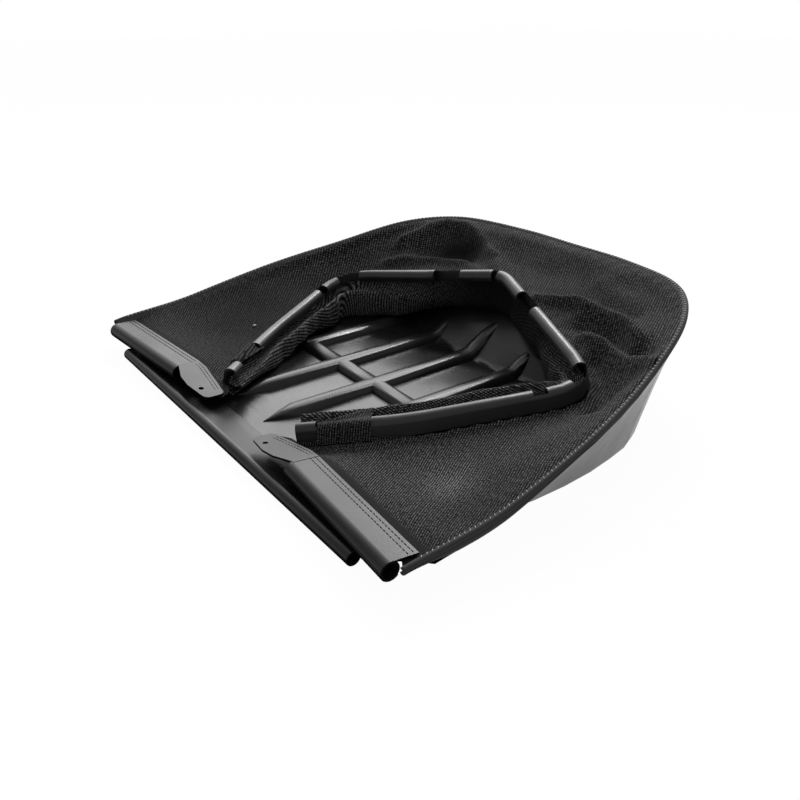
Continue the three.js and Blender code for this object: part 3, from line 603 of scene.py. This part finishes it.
# Painted sheen and painted shade on the knit, as patches of lighter or darker colour: place, radius and gain.
# The lighter patches on the right front are painted sheen; the darker ones on the left, in the hollow at the
# rear left and over the rear are painted shade.
PAINTED_LIGHT_PATCHES = (
    ((160, 90), 90, 0.1),
    ((193, 84), 13, 0.9),
    ((178, 96), 28, 0.3),
    ((-165, 120), 120, -0.19),
    ((-118, 342), 24, -0.28),
    ((-95, 346), 24, -0.15),
    ((0, 400), 150, -0.08),
)
TONE_BASE = 0.35
# The bound band along the side clips: its width behind the flange and its soft edges
BAND_WIDTH, BAND_EDGE = 9.5, 2
BAND_INNER, BAND_INNER_EDGE = 6, 8


def painted_light_at(x, y):
    """Lightness of the knit at places in plan, with its painted sheen and painted shade."""
    painted_light = np.full(x.shape, TONE_BASE)
    for (px, py), radius, gain in PAINTED_LIGHT_PATCHES:
        painted_light += gain * np.exp(-((x - px) ** 2 + (y - py) ** 2) / radius ** 2)
    return painted_light


def bound_at(x, y):
    """1 in the doubled band of cloth along the side clips, 0 in the open knit."""
    reach = np.abs(x)
    rear = SIDE_FRONT + SIDE_REACH + SIDE_TOE * (SIDE_OUTER - np.maximum(reach, SIDE_INNER))
    across = np.clip((rear + BAND_WIDTH - y) / BAND_EDGE, 0, 1)
    return across * np.clip((reach - SIDE_INNER + BAND_INNER) / BAND_INNER_EDGE, 0, 1)


def add_piece(name, mesh):
    """Object for a mesh, on the one body."""
    made = bpy.data.objects.new(name, mesh)
    bpy.context.scene.collection.objects.link(made)
    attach(made, "root")
    return made


def grid_object(name, points, uvs, material):
    """Mesh object over a grid of points in millimetres, with a map in metres for its weave."""
    rows, columns = points.shape[:2]
    places = points.reshape(-1, 3) / 1000
    places[:, 1] -= FRONT_SHIFT / 1000
    at = np.arange(rows * columns).reshape(rows, columns)
    quads = np.stack([at[:-1, :-1], at[:-1, 1:], at[1:, 1:], at[1:, :-1]], -1).reshape(-1, 4)
    mesh = bpy.data.meshes.new(name)
    mesh.from_pydata(places.tolist(), [], quads.tolist())
    layer = mesh.uv_layers.new(name="weave")
    layer.data.foreach_set("uv", uvs.reshape(-1, 2)[quads.reshape(-1)].ravel())
    x, y = points[..., 0].ravel(), points[..., 1].ravel()
    # Painted sheen and painted shade of the knit, and the bound band
    for title, values in (("painted_light", painted_light_at(x, y)), ("bound", bound_at(x, y))):
        mesh.attributes.new(title, "FLOAT", "POINT").data.foreach_set("value", values)
    mesh.polygons.foreach_set("use_smooth", [True] * len(mesh.polygons))
    mesh.materials.append(material)
    return add_piece(name, mesh)


def thicken(piece, thickness):
    """Gives a sheet of cloth its thickness in metres, half to each side."""
    solid = piece.modifiers.new("cloth_thickness", "SOLIDIFY")
    solid.thickness = thickness
    solid.offset = 0


ROW_SPLIT, COLUMN_SPLIT = 4, 6
PANEL_COLUMNS = (len(PANEL_SHARES) + 1) * COLUMN_SPLIT
CLOTH_THICKNESS = 0.0009
FLAP_THICKNESS = 0.0012

coarse = coarse_grid()
fine = refined(np.swapaxes(refined(coarse[:, HEM_LAST:], ROW_SPLIT), 0, 1), COLUMN_SPLIT)
fine = np.swapaxes(fine, 0, 1)

# The hem is rolled over the rim: angles round the roll, its radius and its centre as a share of the hem
ROLL_TURNS = (320, 290, 260, 230, 200, 170, 140, 110, 80, 55)
ROLL_RADIUS = 2.1
ROLL_CENTRE = 0.4
# The knit's wales fan out from this place in plan
WALE_CENTRE = np.array((620, -690))
# Small puckers run in from the seams: height and spacing
FOOT_PUCKER, FOOT_SPACING = 0.7, 2.6
HEM_PUCKER, HEM_SPACING = 0.45, 1.9
RIPPLE_SIZE = 13
# Gathers of the tucked cloth, fine and broad: depth and spacing
GATHER, GATHER_SPACING = 0.9, 4.6
BROAD_GATHER, BROAD_SPACING = 1.3, 11.5
CLOTH_OVER_TRAY = 1.1


def roll_centres():
    """Middle line of the rolled hem and its inward direction."""
    first = refined(coarse[:, 0], ROW_SPLIT)
    last = refined(coarse[:, HEM_LAST - 1], ROW_SPLIT)
    inward = last - first
    inward[:, 2] = 0
    inward /= np.linalg.norm(inward, axis=1)[:, None]
    return first + inward * HEM_WIDTH * ROLL_CENTRE, inward


def ripple(a, b, scale):
    """Small fixed unevenness from -1 to 1."""
    return (np.sin(a / scale + 1.3) * np.cos(b / scale * 1.27 + 0.4)
            + 0.6 * np.sin((a * 0.8 + b * 1.1) / scale * 1.9 + 2.1)) / 1.6


def wrinkled(grid):
    """The sheet with its folds, puckers and gathers, kept clear of the tray."""
    made = grid.copy()
    rows, columns = grid.shape[:2]
    foot = PANEL_COLUMNS
    panel = np.clip(np.arange(columns) / foot, 0, 1)
    x, y = grid[..., 0], grid[..., 1]
    travelled = np.linspace(0, mouth_length, rows)[:, None]
    near_foot = np.exp(-((panel[None, :] - 1) / 0.16) ** 2)
    near_hem = np.exp(-((panel[None, :] - 0.06) / 0.08) ** 2) * np.clip(panel / 0.05, 0, 1)[None, :]
    free = np.sin(math.pi * panel)[None, :]
    behind = np.clip((y - 120) / 120, 0, 1)
    uneven = 1.8 * np.sin(travelled / 31)
    lift = near_foot * FOOT_PUCKER * (1 + np.sin(travelled / FOOT_SPACING + uneven))
    lift += near_hem * HEM_PUCKER * (1 + np.sin(travelled / HEM_SPACING))
    lift += free * (0.5 + behind) * ripple(x, y, RIPPLE_SIZE)
    lift[:, foot:] *= np.clip(1 - (np.arange(foot, columns) - foot) / 6, 0, 1)[None, :]
    ends = np.clip(np.minimum(travelled, mouth_length - travelled) / 40 - 0.5, 0, 1)
    folds = rise_along(FOLDS, x, y) * np.sqrt(np.clip(free, 0, 1)) + rise_along(CREASES, x, y) * free
    folds[:, foot:] = 0
    made[..., 2] += (lift + folds) * ends
    inner = np.clip((np.arange(columns) - foot) / (columns - foot - 1), 0, 1)[None, :]
    gather = np.sin(travelled / GATHER_SPACING + 2.2 * np.sin(travelled / 37) + 3 * inner)
    broad = BROAD_GATHER * np.sin(travelled / BROAD_SPACING + 1.1)
    gather = (GATHER * gather + broad) * np.sin(math.pi * inner) * ends
    for i, distance in enumerate(travelled[:, 0]):
        made[i, foot:, :2] -= soft_outward(distance)[:2] * gather[i, foot:, None]
    for row in made:
        for point in row:
            below = tray_height(point[0], point[1])
            if below is not None:
                point[2] = max(point[2], below + CLOTH_OVER_TRAY)
    return made


fine = wrinkled(fine)
roll_middles, roll_inward = roll_centres()
roll = np.stack([
    roll_middles + ROLL_RADIUS * (math.cos(math.radians(t)) * roll_inward
                                  + math.sin(math.radians(t)) * np.array((0, 0, 1)))
    for t in ROLL_TURNS
], 1)
sheet_points = np.concatenate([roll, fine], 1)

# The weave map follows the cloth from the hem and again from the strip, and is evened out inside it
SMOOTH_OVER = 25
steps = np.linalg.norm(np.diff(sheet_points, axis=1), axis=2)
travel = np.concatenate([np.zeros((len(sheet_points), 1)), np.cumsum(steps, axis=1)], 1)
hem_at, foot_at = len(ROLL_TURNS), len(ROLL_TURNS) + PANEL_COLUMNS
hem_flat = sheet_points[:, hem_at, :2]
foot_flat = sheet_points[:, foot_at, :2]
inward_flat = (foot_flat - hem_flat) / np.linalg.norm(foot_flat - hem_flat, axis=1)[:, None]
flat = sheet_points[..., :2].copy()
for k in range(sheet_points.shape[1]):
    if k < hem_at:
        flat[:, k] = hem_flat + inward_flat * (travel[:, k] - travel[:, hem_at])[:, None]
    elif k > foot_at:
        flat[:, k] = foot_flat + inward_flat * (travel[:, k] - travel[:, foot_at])[:, None]
for k in range(foot_at + 1, flat.shape[1]):
    for axis in (0, 1):
        padded = np.pad(flat[:, k, axis], SMOOTH_OVER // 2, mode="edge")
        flat[:, k, axis] = np.convolve(padded, np.ones(SMOOTH_OVER) / SMOOTH_OVER, mode="valid")
from_centre = flat - WALE_CENTRE
reach = np.linalg.norm(from_centre, axis=-1)
turn = np.arctan2(from_centre[..., 1], from_centre[..., 0])
weave_map = np.stack([turn, reach / 1000], -1)

# The tucked cloth's painted lightness, and the painted shade that darkens it behind the crown: amount, middle
# and width
INNER_TONE = 0.62
CROWN_SHADE, CROWN_MIDDLE, CROWN_WIDTH = 0.58, -0.04, 0.3

mesh_sheet = grid_object("mesh_sheet", sheet_points, weave_map, mesh_look)
painted_light = painted_light_at(sheet_points[..., 0], sheet_points[..., 1])
round_mouth = np.linspace(-1, 1, len(sheet_points))[:, None]
from_crown = (round_mouth - CROWN_MIDDLE) / CROWN_WIDTH
# Painted lightness on the tucked cloth, with painted shade deepest behind the crown
painted_light[:, foot_at:] = INNER_TONE - CROWN_SHADE * np.exp(-from_crown ** 4)
mesh_sheet.data.attributes["painted_light"].data.foreach_set("value", painted_light.ravel())
mesh_sheet.data.materials.append(hem_look)
across_count = sheet_points.shape[1] - 1
for index, polygon in enumerate(mesh_sheet.data.polygons):
    polygon.material_index = 1 if index % across_count < len(ROLL_TURNS) else 0
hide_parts("mesh_bag")
thicken(mesh_sheet, CLOTH_THICKNESS)


def plan_map(points):
    """Weave map of a small piece of the same cloth, from its places in plan."""
    away = points[..., :2] - WALE_CENTRE
    lift = points[..., 2] / 1000
    return np.stack([np.arctan2(away[..., 1], away[..., 0]), np.linalg.norm(away, axis=-1) / 1000 + lift], -1)


def cloth_piece(name, points, look, thickness):
    """Small piece of the same cloth."""
    made = grid_object(name, points, plan_map(points), look)
    thicken(made, thickness)


# Where the strip has only its flange, next to its front end, the cloth is turned up over it
WRAP_FROM, WRAP_TO = 16.6, 59.4
WRAP_SECTION = ((10.6, -13.4), (9.6, -11), (9.0, -7.5), (8.4, -4), (7.7, 0), (7.1, 3.6),
                (5.4, 6.0), (2, 6.2), (-4, 4.2), (-11, 3.2), (-16, 4.2), (-20, 4.6))
WRAP_LOW = -6.5
WRAP_FADES = 118
WRAP_START, WRAP_STEP = 2, 1.2
WRAP_LEFT_SLACK = 0.45


def turned_up(side):
    """Cloth turned up over the bare flange, with a low band along the strip before and behind it."""
    rows = []
    for distance in np.arange(WRAP_START, WRAP_FADES, WRAP_STEP):
        at = distance if side > 0 else mouth_length - distance
        centre, outward, _ = mouth_frame(at)
        full = WRAP_FROM < distance < WRAP_TO
        slack = 1 if side > 0 else WRAP_LEFT_SLACK
        fade = smooth_share(distance, WRAP_TO, WRAP_FADES)
        top = WRAP_LOW + (WRAP_SECTION[0][1] + 2 - WRAP_LOW) * fade
        row = []
        for k, (out, over) in enumerate(WRAP_SECTION):
            if full and over < WRAP_SECTION[2][1]:
                over = WRAP_SECTION[2][1] + 0.3 * (over - WRAP_SECTION[2][1])
                out = WRAP_SECTION[2][0] + 0.3 * (out - WRAP_SECTION[2][0])
            if out < 2:
                out = 2 + (out - 2) * (0.12 + 0.88 * smooth_share(distance, 10, 66))
            if not full:
                lowest = WRAP_SECTION[0][1]
                over = lowest + (top - lowest) * k / (len(WRAP_SECTION) - 1)
                out = 9.1 + 1.4 * max(1 - (over - lowest) / 2.4, 0) - 0.12 * (over + 11)
            elif out < 0:
                out, over = out * slack, over - (1 - slack) * 3
            row.append(centre + outward * out + np.array((0, 0, over)))
        rows.append(row)
    return refined(np.swapaxes(np.array(rows), 0, 1), 2).swapaxes(0, 1)


for side_name, side in (("right", 1), ("left", -1)):
    cloth_piece("mesh_turn_up_" + side_name, turned_up(side), mesh_look, CLOTH_THICKNESS)


# Between the side clip's tab and the front end of the strip the cloth is sewn under the tab:
# places in plan along the tab's rear edge and along the strip, with the tab's underside height
TAB_REAR = ((45, 24.5, 14.2), (52, 25.4, 15.0), (60, 26.4, 16.0), (70, 27.5, 17.1),
            (80, 28.6, 18.4), (90, 29.6, 19.6), (98, 30.0, 20.5), (106, 27.5, 21.2))
# Height of the tab's upper face over its underside, where the thread lies
TAB_TOP = 3.1
# Gusset: distance of its middle from the cloth or tab that it lies on, lowest height and sag
GUSSET_SEAT = 0.9
GUSSET_LOWEST = 13.5
GUSSET_SAG = 1.2
STRIP_FRONT = ((46, 33), (55, 38.5), (65, 39), (72, 39.5), (81, 39), (91, 36.5), (100, 34), (108, 31))


def gusset(side):
    """Cloth from under the tab back to the sheet behind it."""
    plan = sheet_points[:, hem_at:foot_at + 1].reshape(-1, 3)
    front = np.array([(side * x, y, z - GUSSET_SEAT) for x, y, z in TAB_REAR])
    rear = []
    for x, y in STRIP_FRONT:
        away = np.hypot(plan[:, 0] - side * x, plan[:, 1] - y)
        rear.append((side * x, y, max(plan[away.argmin(), 2] + GUSSET_SEAT, GUSSET_LOWEST)))
    rear = np.array(rear)
    rows = []
    for share in np.linspace(0, 1, 9):
        sag = np.array((0, 0, GUSSET_SAG * math.sin(math.pi * share)))
        rows.append(front + (rear - front) * share - sag)
    return refined(np.swapaxes(np.array(rows), 0, 1), 4)


for side_name, side in (("right", 1), ("left", -1)):
    cloth_piece("mesh_gusset_" + side_name, gusset(side), mesh_look, CLOTH_THICKNESS)


# The hem's lower edge hangs over the rim near the front corners: its length and drop, and how short
# it starts at the corner
FLAP_LENGTH = 170
FLAP_DROP = 4.6
FLAP_LEVEL = 0.35
FLAP_AT_CORNER = 0.06
FLAP_OPENS, FLAP_OPEN = 3, 45
FLAP_BULGE = 0.9


def hem_flap(from_front):
    """Hanging edge of the hem, counted from the front corner on one side."""
    travelled = np.concatenate([[0], np.cumsum(np.linalg.norm(np.diff(roll_middles, axis=0), axis=1))])
    if not from_front:
        travelled = travelled[-1] - travelled
    rows = []
    for i in np.argsort(travelled):
        if travelled[i] > FLAP_LENGTH:
            break
        drop = FLAP_DROP * (1 - smooth_share(travelled[i], FLAP_LENGTH * FLAP_LEVEL, FLAP_LENGTH))
        drop *= FLAP_AT_CORNER + (1 - FLAP_AT_CORNER) * smooth_share(travelled[i], FLAP_OPENS, FLAP_OPEN)
        outward = -roll_inward[i]
        start = roll_middles[i] + outward * (ROLL_RADIUS - 0.4) - np.array((0, 0, 0.5))
        rows.append([
            start + outward * (FLAP_BULGE * math.sin(math.pi * t)) - np.array((0, 0, drop * t))
            for t in np.linspace(0, 1, 7)
        ])
    return np.array(rows)


for side_name, from_front in (("right", True), ("left", False)):
    cloth_piece("mesh_hem_flap_" + side_name, hem_flap(from_front), hem_look, FLAP_THICKNESS)


# Lips that curl the front and side hooks nearly shut: how much narrower and thinner than the hook

LIP_NARROWER, LIP_THINNER = 0.3, 0.5
LIP_STEPS = 21


def hook_lip(name, ends, od, wall, start, stop):
    """Curved strip along the x axis between two ends, each (x, y, z) of the hook's axis."""
    od, wall = od - LIP_NARROWER, wall - LIP_THINNER
    turns = np.radians(np.linspace(start, stop, LIP_STEPS))
    section = [(od / 2 * math.cos(a), od / 2 * math.sin(a)) for a in turns]
    section += [((od / 2 - wall) * math.cos(a), (od / 2 - wall) * math.sin(a)) for a in turns[::-1]]
    vertices = []
    for x, y, z in ends:
        vertices += [(x / 1000, (y + dy - FRONT_SHIFT) / 1000, (z + dz) / 1000) for dy, dz in section]
    count = len(section)
    faces = [(i, (i + 1) % count, (i + 1) % count + count, i + count) for i in range(count)]
    faces.append(tuple(range(count - 1, -1, -1)))
    faces.append(tuple(range(count, 2 * count)))
    mesh = bpy.data.meshes.new(name)
    mesh.from_pydata(vertices, [], faces)
    mesh.materials.append(clip_look)
    add_piece(name, mesh)


# Front hook, and the angles round each hook's axis that the lips cover
FRONT_OD, FRONT_WALL, FRONT_AXIS_HEIGHT, FRONT_HALF = 11.3, 1.6, 5.95, 200
LIP_FROM, LIP_TO = 318, 440
FRONT_LIP_FROM, FRONT_LIP_TO = 283, 425


def side_axis(side, reach):
    """Place on a side clip's axis at a reach from the middle."""
    return (side * reach, SIDE_FRONT + (SIDE_OUTER - reach) * SIDE_TOE, SIDE_AXIS_HEIGHT)


hook_lip("front_clip_lip", ((-FRONT_HALF, 0, FRONT_AXIS_HEIGHT), (FRONT_HALF, 0, FRONT_AXIS_HEIGHT)),
         FRONT_OD, FRONT_WALL, FRONT_LIP_FROM, FRONT_LIP_TO)
hook_lip("side_clip_right_lip", (side_axis(1, SIDE_INNER), side_axis(1, SIDE_OUTER)),
         SIDE_OD, SIDE_WALL, LIP_FROM, LIP_TO)
hook_lip("side_clip_left_lip", (side_axis(-1, SIDE_OUTER), side_axis(-1, SIDE_INNER)),
         SIDE_OD, SIDE_WALL, LIP_FROM, LIP_TO)


# Threads: radii, how much finer each end is, and the stitches' pitch and length

HEM_THREAD, CLIP_THREAD, LINT_THREAD = 0.38, 0.42, 0.75
THREAD_END = 0.55
ZIGZAG_PITCH, ZIGZAG_LENGTH, ZIGZAG_MARGIN = 4.2, 2.2, 14
ZIGZAG_TOP, ZIGZAG_SWEEP = 98, 66
ZIGZAG_CLEAR = 0.6
STITCH_PITCH = 3.8
STITCH = (0, 1.4, 2.8)
# Rows along the flange and along the tab's rear edge, from that edge
FLANGE_ROWS = (2.4, 6.4)
TAB_ROWS = (1.6, -1.4)


def strokes_object(name, strokes, radius, material, sides=5):
    """Short threads, each a tube along a few points in millimetres."""
    vertices, faces = [], []
    for points in strokes:
        points = np.array(points, float)
        base = len(vertices)
        for i, point in enumerate(points):
            ahead = points[min(i + 1, len(points) - 1)] - points[max(i - 1, 0)]
            ahead /= np.linalg.norm(ahead)
            side = np.cross(ahead, (0, 0, 1))
            side /= np.linalg.norm(side)
            top = np.cross(side, ahead)
            size = radius * (THREAD_END if i in (0, len(points) - 1) else 1)
            for j in range(sides):
                a = 2 * math.pi * j / sides
                place = point + size * (math.cos(a) * side + math.sin(a) * top)
                vertices.append((place[0] / 1000, (place[1] - FRONT_SHIFT) / 1000, place[2] / 1000))
        for i in range(len(points) - 1):
            for j in range(sides):
                a, b = base + i * sides + j, base + i * sides + (j + 1) % sides
                faces.append((a, b, b + sides, a + sides))
        faces.append(tuple(base + j for j in reversed(range(sides))))
        faces.append(tuple(base + (len(points) - 1) * sides + j for j in range(sides)))
    mesh = bpy.data.meshes.new(name)
    mesh.from_pydata(vertices, [], faces)
    mesh.polygons.foreach_set("use_smooth", [True] * len(mesh.polygons))
    mesh.materials.append(material)
    return add_piece(name, mesh)


def hem_zigzag():
    """Light slanting stitches over the rolled hem, one stroke each."""
    path = np.concatenate([[0], np.cumsum(np.linalg.norm(np.diff(roll_middles, axis=0), axis=1))])
    strokes = []
    radius = ROLL_RADIUS + ZIGZAG_CLEAR

    def on_roll(distance, turn_angle):
        middle = np.array([np.interp(distance, path, roll_middles[:, k]) for k in range(3)])
        inward = np.array([np.interp(distance, path, roll_inward[:, k]) for k in range(3)])
        a = math.radians(turn_angle)
        return middle + radius * (math.cos(a) * inward + math.sin(a) * np.array((0, 0, 1)))

    for start in np.arange(ZIGZAG_MARGIN, path[-1] - ZIGZAG_MARGIN, ZIGZAG_PITCH):
        strokes.append([
            on_roll(start + t * ZIGZAG_LENGTH, ZIGZAG_TOP - ZIGZAG_SWEEP * t) for t in (0, 0.33, 0.66, 1)
        ])
    return strokes


def clip_seams():
    """Two rows of stitches along the rear edge of each side clip's flange, and two along its tab."""
    strokes = []
    tab_x, tab_y, tab_z = np.array(TAB_REAR).T
    for side in (-1, 1):
        for inset in FLANGE_ROWS:
            for start in np.arange(104, 234, STITCH_PITCH):
                ends = []
                for x in (start + step for step in STITCH):
                    y = flange_rear(x) - inset
                    z = FLANGE_UNDER + SIDE_WALL + inset * math.tan(SIDE_SLOPE) + 0.12
                    ends.append((side * x, y, z))
                strokes.append(ends)
        for inset in TAB_ROWS:
            for start in np.arange(52, 98, STITCH_PITCH):
                ends = []
                for x in (start + step for step in STITCH):
                    y = np.interp(x, tab_x, tab_y) + inset
                    z = np.interp(x, tab_x, tab_z) + TAB_TOP
                    ends.append((side * x, y, z - inset * math.tan(SIDE_SLOPE)))
                strokes.append(ends)
    return strokes


hem_thread = strokes_object("hem_stitching", hem_zigzag(), HEM_THREAD, zigzag_look)
strokes_object("clip_stitching", clip_seams(), CLIP_THREAD, seam_look)

# A fleck of lint on the left of the mesh
FLECK = (-160, 118)
fleck_height = max(p[2] for p in sheet_points.reshape(-1, 3)
                   if abs(p[0] - FLECK[0]) < 5 and abs(p[1] - FLECK[1]) < 5) + 0.8
lint = strokes_object("lint_fleck", [
    [(FLECK[0] - 1.8, FLECK[1], fleck_height), (FLECK[0], FLECK[1] + 0.6, fleck_height + 0.4),
     (FLECK[0] + 1.6, FLECK[1] - 0.4, fleck_height)],
    [(FLECK[0] - 0.4, FLECK[1] - 1.9, fleck_height), (FLECK[0] + 0.3, FLECK[1], fleck_height + 0.5),
     (FLECK[0] + 0.2, FLECK[1] + 2, fleck_height)],
], LINT_THREAD, lint_look)


# Studio

# Direction that the room's light comes from, its levels, and how far round that direction it fades
ROOM_LIGHT_FROM = (-0.72, 0.56, 0.36)
ROOM_DARK = 0.5
ROOM_BRIGHT = 2.3
ROOM_FADE = (0.6, 0.97)
# What the camera and the gloss see of the floor, where 1 is white
FLOOR_SIZE = 6.0
FLOOR_GLOW = 0.97
FLOOR_SHEEN = 0.8


def make_floor():
    size = FLOOR_SIZE
    mesh = bpy.data.meshes.new("studio_floor")
    mesh.from_pydata(
        [(-size, -size, 0), (size, -size, 0), (size, size, 0), (-size, size, 0)], [], [(0, 1, 2, 3)]
    )
    floor = bpy.data.objects.new("studio_floor", mesh)
    bpy.context.scene.collection.objects.link(floor)
    material, tree, shader = new_material("pale_floor")
    place = tree.nodes.new("ShaderNodeTexCoord").outputs["Object"]
    tree.links.new(
        blend_colours(tree, noise(tree, place, 3), (0.93, 0.93, 0.93), (0.95, 0.95, 0.95)),
        shader.inputs["Base Color"],
    )
    shader.inputs["Roughness"].default_value = 0.9
    shader.inputs["Specular IOR Level"].default_value = 0.1
    glow = tree.nodes.new("ShaderNodeEmission")
    glow.inputs["Color"].default_value = (1, 1, 1, 1)
    glow.inputs["Strength"].default_value = 1.0
    rays = tree.nodes.new("ShaderNodeLightPath")
    share = maths(tree, "MULTIPLY", rays.outputs["Is Glossy Ray"], FLOOR_SHEEN)
    share = maths(tree, "MULTIPLY_ADD", rays.outputs["Is Camera Ray"], FLOOR_GLOW, share)
    mix = tree.nodes.new("ShaderNodeMixShader")
    tree.links.new(share, mix.inputs["Fac"])
    tree.links.new(shader.outputs["BSDF"], mix.inputs[1])
    tree.links.new(glow.outputs["Emission"], mix.inputs[2])
    output = [n for n in tree.nodes if n.type == "OUTPUT_MATERIAL"][0]
    tree.links.new(mix.outputs["Shader"], output.inputs["Surface"])
    mesh.materials.append(material)


def make_world():
    """Lights the object from behind and above; what the camera sees of it is plain white."""
    world = bpy.data.worlds.new("studio_world")
    bpy.context.scene.world = world
    world.use_nodes = True
    tree = world.node_tree
    tree.nodes.clear()
    aim = Vector(ROOM_LIGHT_FROM).normalized()
    direction = tree.nodes.new("ShaderNodeTexCoord").outputs["Generated"]
    facing = tree.nodes.new("ShaderNodeVectorMath")
    facing.operation = "DOT_PRODUCT"
    facing.inputs[1].default_value = aim
    tree.links.new(direction, facing.inputs[0])
    strength = ramp(tree, facing.outputs["Value"], ROOM_DARK, ROOM_BRIGHT, *ROOM_FADE)
    light = tree.nodes.new("ShaderNodeBackground")
    light.inputs["Color"].default_value = (1, 1, 1, 1)
    tree.links.new(strength, light.inputs["Strength"])
    backdrop = tree.nodes.new("ShaderNodeBackground")
    backdrop.inputs["Color"].default_value = (1, 1, 1, 1)
    backdrop.inputs["Strength"].default_value = 1.0
    rays = tree.nodes.new("ShaderNodeLightPath")
    mix = tree.nodes.new("ShaderNodeMixShader")
    tree.links.new(rays.outputs["Is Camera Ray"], mix.inputs["Fac"])
    tree.links.new(light.outputs["Background"], mix.inputs[1])
    tree.links.new(backdrop.outputs["Background"], mix.inputs[2])
    output = tree.nodes.new("ShaderNodeOutputWorld")
    tree.links.new(mix.outputs["Shader"], output.inputs["Surface"])


def add_lamp(name, place, target, size, power):
    data = bpy.data.lights.new(name, "AREA")
    data.shape = "RECTANGLE"
    data.size = size[0]
    data.size_y = size[1]
    data.energy = power
    lamp = bpy.data.objects.new(name, data)
    bpy.context.scene.collection.objects.link(lamp)
    lamp.location = place
    lamp.rotation_euler = (Vector(target) - Vector(place)).to_track_quat("-Z", "Y").to_euler()


def make_camera():
    data = bpy.data.cameras.new("studio_camera")
    data.sensor_width = 36
    data.lens = CAMERA_LENS
    data.clip_start = 0.01
    camera = bpy.data.objects.new("studio_camera", data)
    bpy.context.scene.collection.objects.link(camera)
    camera.location = CAMERA_PLACE
    camera.rotation_euler = CAMERA_TURN
    bpy.context.scene.camera = camera


make_floor()
make_world()
add_lamp("back_softbox", (-1.2, 0.9, 1.0), (0, 0, 0), (1.4, 0.7), 9)
add_lamp("ridge_softbox", (-0.6, 0.87, 1.2), (0, 0, 0.02), (0.5, 0.16), 11)
add_lamp("top_softbox", (-0.3, 0.2, 1.7), (0, 0, 0), (0.6, 0.6), 1.5)
make_camera()

scene = bpy.context.scene
scene.view_settings.view_transform = "Standard"
